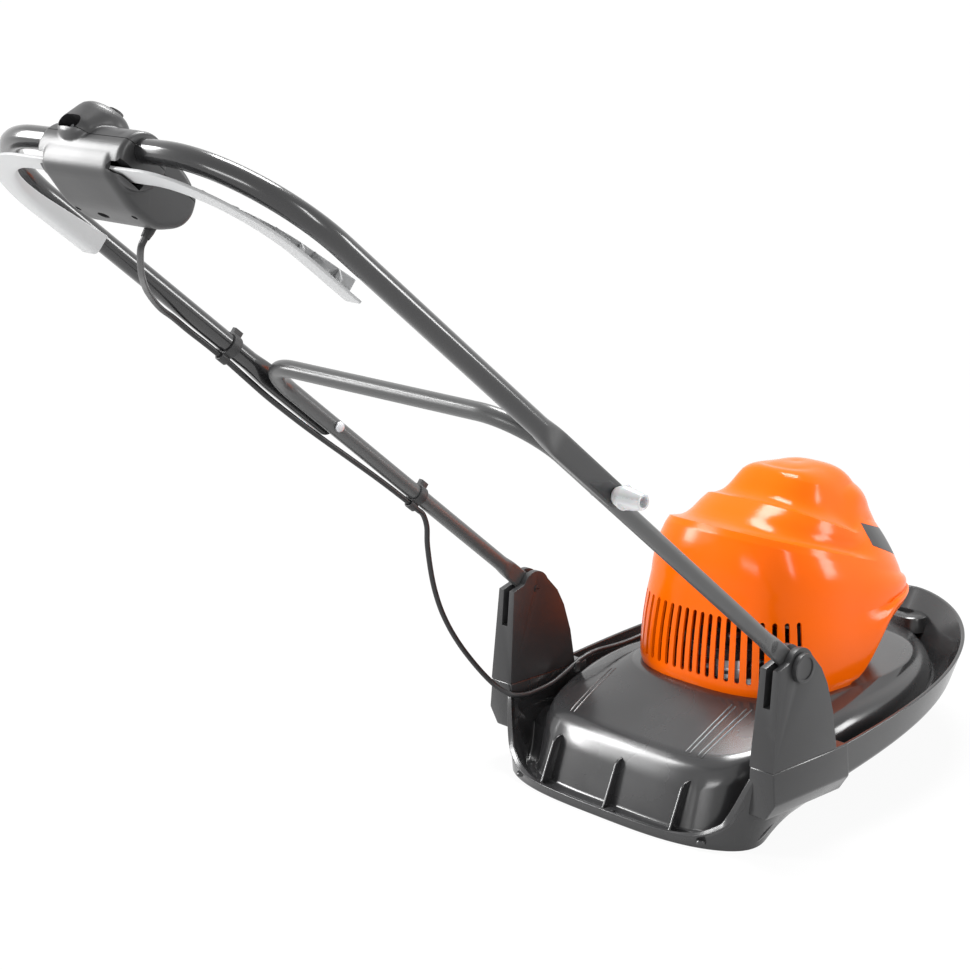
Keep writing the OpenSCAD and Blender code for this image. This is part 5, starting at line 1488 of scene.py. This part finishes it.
@dataclass
class SwitchBox:
    """The two-part switch box on the grip bar."""

    grip_s: float = GRIP_S
    left: float = 57.0
    right: float = 70.0
    collar_s: float = 960.0
    collar_n: float = -8.0
    collar_r: float = 26.0
    boss_x: float = -12.0
    boss_s: float = 965.0
    boss_r: float = 27.0
    inlet_n: float = 4.0
    snout_r: float = 25.0
    snout_end: float = 994.0
    snout_flat: float = 0.64
    split_n: float = -1.0
    seam: float = 0.3
    bar_bore: float = 11.1
    voxel: float = 1.1

    def outline(self, share: float) -> Array:
        """Returns the box's rounded section in (s, n), drawn in to a share of its size."""
        g = self.grip_s
        corners = np.array([
            [g + 20, 0], [g + 20, -22], [g + 13, -35], [g - 29, -46], [g - 60, -44], [g - 81, -28],
            [g - 86, -14], [g - 82, 0], [g - 77, 6], [g - 60, 14], [g - 20, 20], [g, 20], [g + 17, 9],
        ], float)
        flat = Shape.rounded(corners[:, None, :], [9.0] * len(corners), 4, True)[:, 0, :]
        middle = flat.mean(axis=0)
        return middle + (flat - middle) * share

    def body(self) -> Object:
        """Returns the joined box body before it is split."""
        x0, x1, r = 10 - self.left, self.right - 10, 9.0
        quarter = np.linspace(0, math.pi / 2, 6)
        stops = [(x0 + r * (1 - math.cos(t)), 1 - 0.13 * (1 - math.sin(t))) for t in quarter]
        stops += [(x, 1.0) for x in np.linspace(x0 + r, x1 - r, 6)[1:-1]]
        stops += [(x1 - r + r * math.sin(t), 1 - 0.13 * (1 - math.cos(t))) for t in quarter]
        rings = np.array([np.insert(self.outline(k), 0, x, axis=1) for x, k in stops])
        box = Shape.made("box_body", *self._on(Shape.lofted(rings)), Finishes.BOX)
        r, x0, x1 = self.collar_r, -self.left, self.right
        profile = [(r - 4, x0), (r - 1.2, x0 + 1.2), (r, x0 + 4)]
        profile += [(r, x1 - 4), (r - 1.2, x1 - 1.2), (r - 4, x1)]
        collar = Shape.turned(profile, 64, (2, 0, 1), (0, self.collar_s, self.collar_n))
        collar = Shape.made("box_collar", *self._on(Shape.lofted(collar)), Finishes.BOX)
        r = self.boss_r
        profile = [(r, 2), (r, 20), (r - 0.8, 24), (r - 3, 28.5), (r - 7, 32), (r - 12, 33.8), (4, 34)]
        boss = Shape.turned(profile, 64, at=(self.boss_x, self.boss_s, 0))
        Shape.cut(box, [collar, self.cowl(boss)], Cut.JOIN)
        step = box.modifiers.new("skin", "REMESH")
        step.mode = "VOXEL"
        step.voxel_size = self.voxel * MM
        soft = box.modifiers.new("soften", "SMOOTH")
        soft.factor = 0.5
        soft.iterations = 7
        return Shape.applied(box)

    def cowl(self, boss: Array) -> Object:
        """Wraps the button's boss and the inlet's blunt nose in one skin.

        Args:
            boss: the boss's rings in (x, s, n).

        Returns:
            The closed cowl.
        """
        nose = [(0, -40), (0, -20), (0.6, -13), (2.5, -7), (5.5, -2.5), (10, 0.5), (17, 2.0)]
        profile = [(self.snout_r - dr, self.snout_end + z) for dr, z in nose]
        rings = Shape.turned(profile, 64, (0, 2, 1), (self.boss_x, 0, self.inlet_n), (1, 1, self.snout_flat))
        points = np.concatenate([boss.reshape(-1, 3), rings.reshape(-1, 3)])
        skin = bmesh.new()
        for point in Shape.on_handle(points):
            skin.verts.new((point * MM).tolist())
        hull = bmesh.ops.convex_hull(skin, input=skin.verts)
        inside = {v for v in hull["geom_interior"] + hull["geom_unused"] if isinstance(v, bmesh.types.BMVert)}
        bmesh.ops.delete(skin, geom=list(inside), context="VERTS")
        mesh = bpy.data.meshes.new("box_cowl")
        skin.to_mesh(mesh)
        skin.free()
        return Shape.linked("box_cowl", mesh)

    @staticmethod
    def _on(made: tuple[Array, list]) -> tuple[Array, list]:
        """Returns points given as (x, s, n) in the shared frame, with their faces."""
        return Shape.on_handle(made[0]), made[1]

    def _solid(self, made: tuple[Array, list]) -> Object:
        """Returns points given as (x, s, n) and their faces as a cutting solid."""
        return Shape.tool(*self._on(made))

    def _tool(self, low: Sequence[float], high: Sequence[float]) -> Object:
        """Returns a cutting block between two (x, s, n) corners."""
        (x0, s0, n0), (x1, s1, n1) = low, high
        flat = [[x0, s0], [x1, s0], [x1, s1], [x0, s1]]
        return self._solid(Shape.prism(flat, 2, n0, n1))

    def _rod(self, x: float, s: float, n0: float, n1: float, r: float, stretch: float = 1.0) -> Object:
        """Returns a cutting rod along n, stretched across.

        Args:
            x: place across.
            s: place along the handle.
            n0: lower end.
            n1: upper end.
            r: radius along s.
            stretch: how much wider it is across.
        """
        rings = Shape.turned([(r, n0), (r, n1)], 32, at=(x, s, 0), grow=(stretch, 1, 1))
        return self._solid(Shape.lofted(rings))

    def _cross(self, x0: float, x1: float, s: float, n: float, r: float) -> Object:
        """Returns a cutting rod across the handle between x0 and x1 at (s, n)."""
        rings = Shape.turned([(r, x0), (r, x1)], 48, (2, 0, 1), (0, s, n))
        return self._solid(Shape.lofted(rings))

    def inlet_tool(self) -> Object:
        """Returns the oval inlet recess as a cutting solid."""
        flat = Shape.stadium(6.5, 8.5, 48) + (self.boss_x, self.inlet_n)
        return self._solid(Shape.prism(flat, 1, self.snout_end + 6, self.boss_s + self.boss_r - 13))

    def cavity(self) -> Object:
        """Returns the hollow inside the box as a cutting solid."""
        return self._solid(Shape.prism(self.outline(0.9), 0, -42.0, 55.0))

    def build(self) -> None:
        """Makes the two halves, the button and the strain relief."""
        g = self.grip_s
        whole = self.body()
        upper = Shape.linked("box_upper_half", whole.data.copy())
        whole.name = "box_lower_half"
        tube = (-self.left - 9, self.right + 9, g, 0.0, self.bar_bore)
        Shape.cut(upper, [self._tool((-90, 800, -90), (100, 1050, self.split_n + self.seam)),
                          self.inlet_tool(), self._rod(self.boss_x, self.boss_s - 6, 24, 50, 7.8),
                          self._cross(*tube)])
        screws = [(-36, g - 38), (50, g - 38), (-36, g - 60), (50, g - 60)]
        windows = [self._tool((x, g - 16.5, -30), (x + 16.5, g + 16.5, -19))
                   for x in (-self.left - 1, self.right - 15.5)]
        holes = [self._rod(x, s, -60, -37, 3.2) for x, s in screws]
        Shape.cut(whole, [self._tool((-90, 800, self.split_n - self.seam), (100, 1050, 90)),
                          self._cross(*tube), self.inlet_tool(), self.cavity(), *windows, *holes,
                          self._rod(33, g - 69, -60, -20, 5.1), self._rod(-4, g - 44, -60, -42, 4.5, 1.7)])
        ridden(upper, Body.UPPER, "switch_box_upper", slot="box_plastic")
        ridden(whole, Body.UPPER, "switch_box_lower", slot="box_plastic")
        carried("lock_button", "box_lock_button", Body.BUTTON, Finishes.BRACKET, 1.0, "hood_plastic")
        carried("box_strain_relief", "box_lead_relief", Body.UPPER, Finishes.RUBBER, 0.5, "rubber")


@dataclass
class Bail:
    """The squeeze lever: a U-shaped channel under the loop."""

    hinge_s: float = 960.0
    hinge_n: float = -24.0
    tilt: float = 1.0
    bend: float = 106.0
    half_w: float = 198.0
    width: float = 24.0
    thick: float = 7.0
    skin: float = 3.0
    end_s: float = 790.0
    end_h: float = 22.0
    bar_s: float = GRIP_S
    rise_s: float = 949.0

    def path(self) -> Array:
        """Returns the middle line in (x, s, n), from the left end to the right."""
        stops = np.linspace(self.end_s, self.bar_s - self.bend, 12)
        return Shape.hoop(stops, self.half_w, self.bar_s, self.bend, 30)

    def placed(self, points: Array) -> Array:
        """Returns points of the flat lever tilted about its hinge, in the shared frame."""
        t = math.radians(self.tilt)
        s, n = points[:, 1] - self.hinge_s, points[:, 2]
        tilted = np.column_stack([points[:, 0], self.hinge_s + s * math.cos(t) + n * math.sin(t),
                                  self.hinge_n - s * math.sin(t) + n * math.cos(t)])
        return Shape.on_handle(tilted)

    def build(self) -> None:
        """Makes the channel, its ribs and its hub."""
        h, t, k = self.width / 2, self.thick / 2, self.skin
        reach = [0.8, 7.0, 1.0, 1.0, 3.0, 0.8]
        path = self.path()

        def section(i: int) -> Array:
            """Returns the channel's section: a floor and an inner wall that rises towards the ends."""
            top = self.rise(path[i][1]) - t
            corners = np.array([[-h, -t], [h, -t], [h, top], [h - k, top], [h - k, k - t], [-h, k - t]])
            return Shape.rounded(corners[:, None, :], reach, 4, True)[:, 0, :]

        points, faces = Shape.swept(path, section, (0, 0, 1))
        obj = Shape.made("bail_channel", self.placed(points), faces, Finishes.LEVER, 40.0)
        ridden(obj, Body.LEVER, "squeeze_lever", slot="lever_plastic")
        self.ribs(path)
        profile = [(2.6, -32), (6, -32), (6, 32), (2.6, 32)]
        points, faces = Shape.lofted(Shape.turned(profile, 40, (2, 0, 1), (0, self.hinge_s, 0)), loop=True)
        hub = Shape.made("bail_hub", self.placed(points), faces, Finishes.LEVER)
        ridden(hub, Body.LEVER, slot="lever_plastic")

    def rise(self, s: float) -> float:
        """Returns the inner wall's height at distance s along the handle, in mm."""
        share = float(np.clip((self.rise_s - s) / (self.rise_s - self.end_s), 0, 1))
        return self.thick + (self.end_h - self.thick) * share

    def ribs(self, path: Array) -> None:
        """Makes the gussets between the channel's floor and its wall.

        Args:
            path: the channel's middle line.
        """
        h, t, k = self.width / 2, self.thick / 2, self.skin
        outline = [[1 - h, 0.0], [h - k + 0.3, 0.0], [h - k + 0.3, 1.0], [1 - h, 0.25]]
        rib = Shape.made("rib", *Shape.prism(outline, 1, -0.8, 0.8), Finishes.LEVER)
        picks = [i for i in range(2, len(path) - 2, 4) if abs(path[i][0]) > 90]
        places, turns, grows = [], [], []
        for count, i in enumerate(picks):
            run = path[i + 1] - path[i - 1]
            spin = math.atan2(-run[0], run[1]) + (0.4 if count % 2 else -0.4)
            ends = np.array([[0, 0, 0], [math.cos(spin), math.sin(spin), 0], [0, 0, 1]]) + path[i]
            ends[:, 2] += k - t - 0.4
            origin, across, over = self.placed(ends)
            u, n = Vector(across - origin), Vector(over - origin)
            places.append(origin)
            turns.append(list(Matrix((u, n.cross(u), n)).transposed().to_euler()))
            grows.append([1.0, 1.0, self.rise(path[i][1]) - k])
        obj = TREES.placed("bail_ribs", rib, places, turns, Finishes.LEVER, grows)
        ridden(obj, Body.LEVER, slot="lever_plastic")


@dataclass
class Works:
    """The cutter under the hood and the motor inside the cover, carried over with finishes."""

    finishes: dict[str, Finish] = field(default_factory=lambda: {
        "bracket_screws": Finishes.STEEL, "cover_screws": Finishes.STEEL, "motor_mount": Finishes.INNER,
        "motor_stator": Finishes.LAMINATE, "field_coils": Finishes.COPPER, "brush_holders": Finishes.INNER,
        "bearing_bridge": Finishes.STEEL, "motor_bearings": Finishes.STEEL, "suppressor": Finishes.IMPELLER,
        "drive_belt": Finishes.RUBBER, "spindle_housing": Finishes.STEEL, "spindle_bearings": Finishes.STEEL,
        "armature": Finishes.LAMINATE, "commutator": Finishes.COPPER, "motor_shaft": Finishes.STEEL,
        "motor_pulley": Finishes.STEEL, "cooling_fan": Finishes.INNER, "spindle_shaft": Finishes.STEEL,
        "driven_pulley": Finishes.INNER, "blade_spacer": Finishes.INNER, "switch_box_screws": Finishes.STEEL,
        "microswitch": Finishes.INNER, "inlet_pins": Finishes.STEEL, "lever_pivot_rod": Finishes.STEEL,
        "button_spring": Finishes.STEEL,
    })

    def build(self) -> None:
        """Gives carried-over nodes their finish and rounds the cutter's edges."""
        for node, finish in self.finishes.items():
            Shape.painted(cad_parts[node], finish.material())
            LOG.info("%s keeps its packed shape", node)
        carried("cutting_blade", "cutter_blade", Body.CUTTER, Finishes.BLADE, 0.5)
        carried("blade_bolt", "cutter_bolt", Body.CUTTER, Finishes.STEEL, 0.6)
        carried("impeller", "cutter_impeller", Body.CUTTER, Finishes.IMPELLER, 0.5)


def main() -> None:
    """Builds every sub-assembly in order."""
    studio = Studio()
    studio.camera()
    Lead().build()
    Hood().build()
    Brackets().build()
    Cover().build()
    Tube("lower_tube", "lower_handle_tube", Body.LOWER, Finishes.LEG, diameter=19.0, half_w=LEG_X, end_s=0.0,
         bar_s=541.0, bend=65.0, flat_t=8.0, flat_w=22.0, flat_from=40.0, flat_to=66.0).build()
    Tube("upper_tube", "upper_handle_tube", Body.UPPER, Finishes.TUBE, diameter=22.0, half_w=ARM_X,
         end_s=FOLD_S, bar_s=GRIP_S, bend=120.0, flat_t=8.0, flat_w=26.0, flat_from=500.0,
         flat_to=540.0).build()
    FoldJoint().build()
    SwitchBox().build()
    Bail().build()
    Works().build()
    studio.lit()


if __name__ == "__main__":
    main()
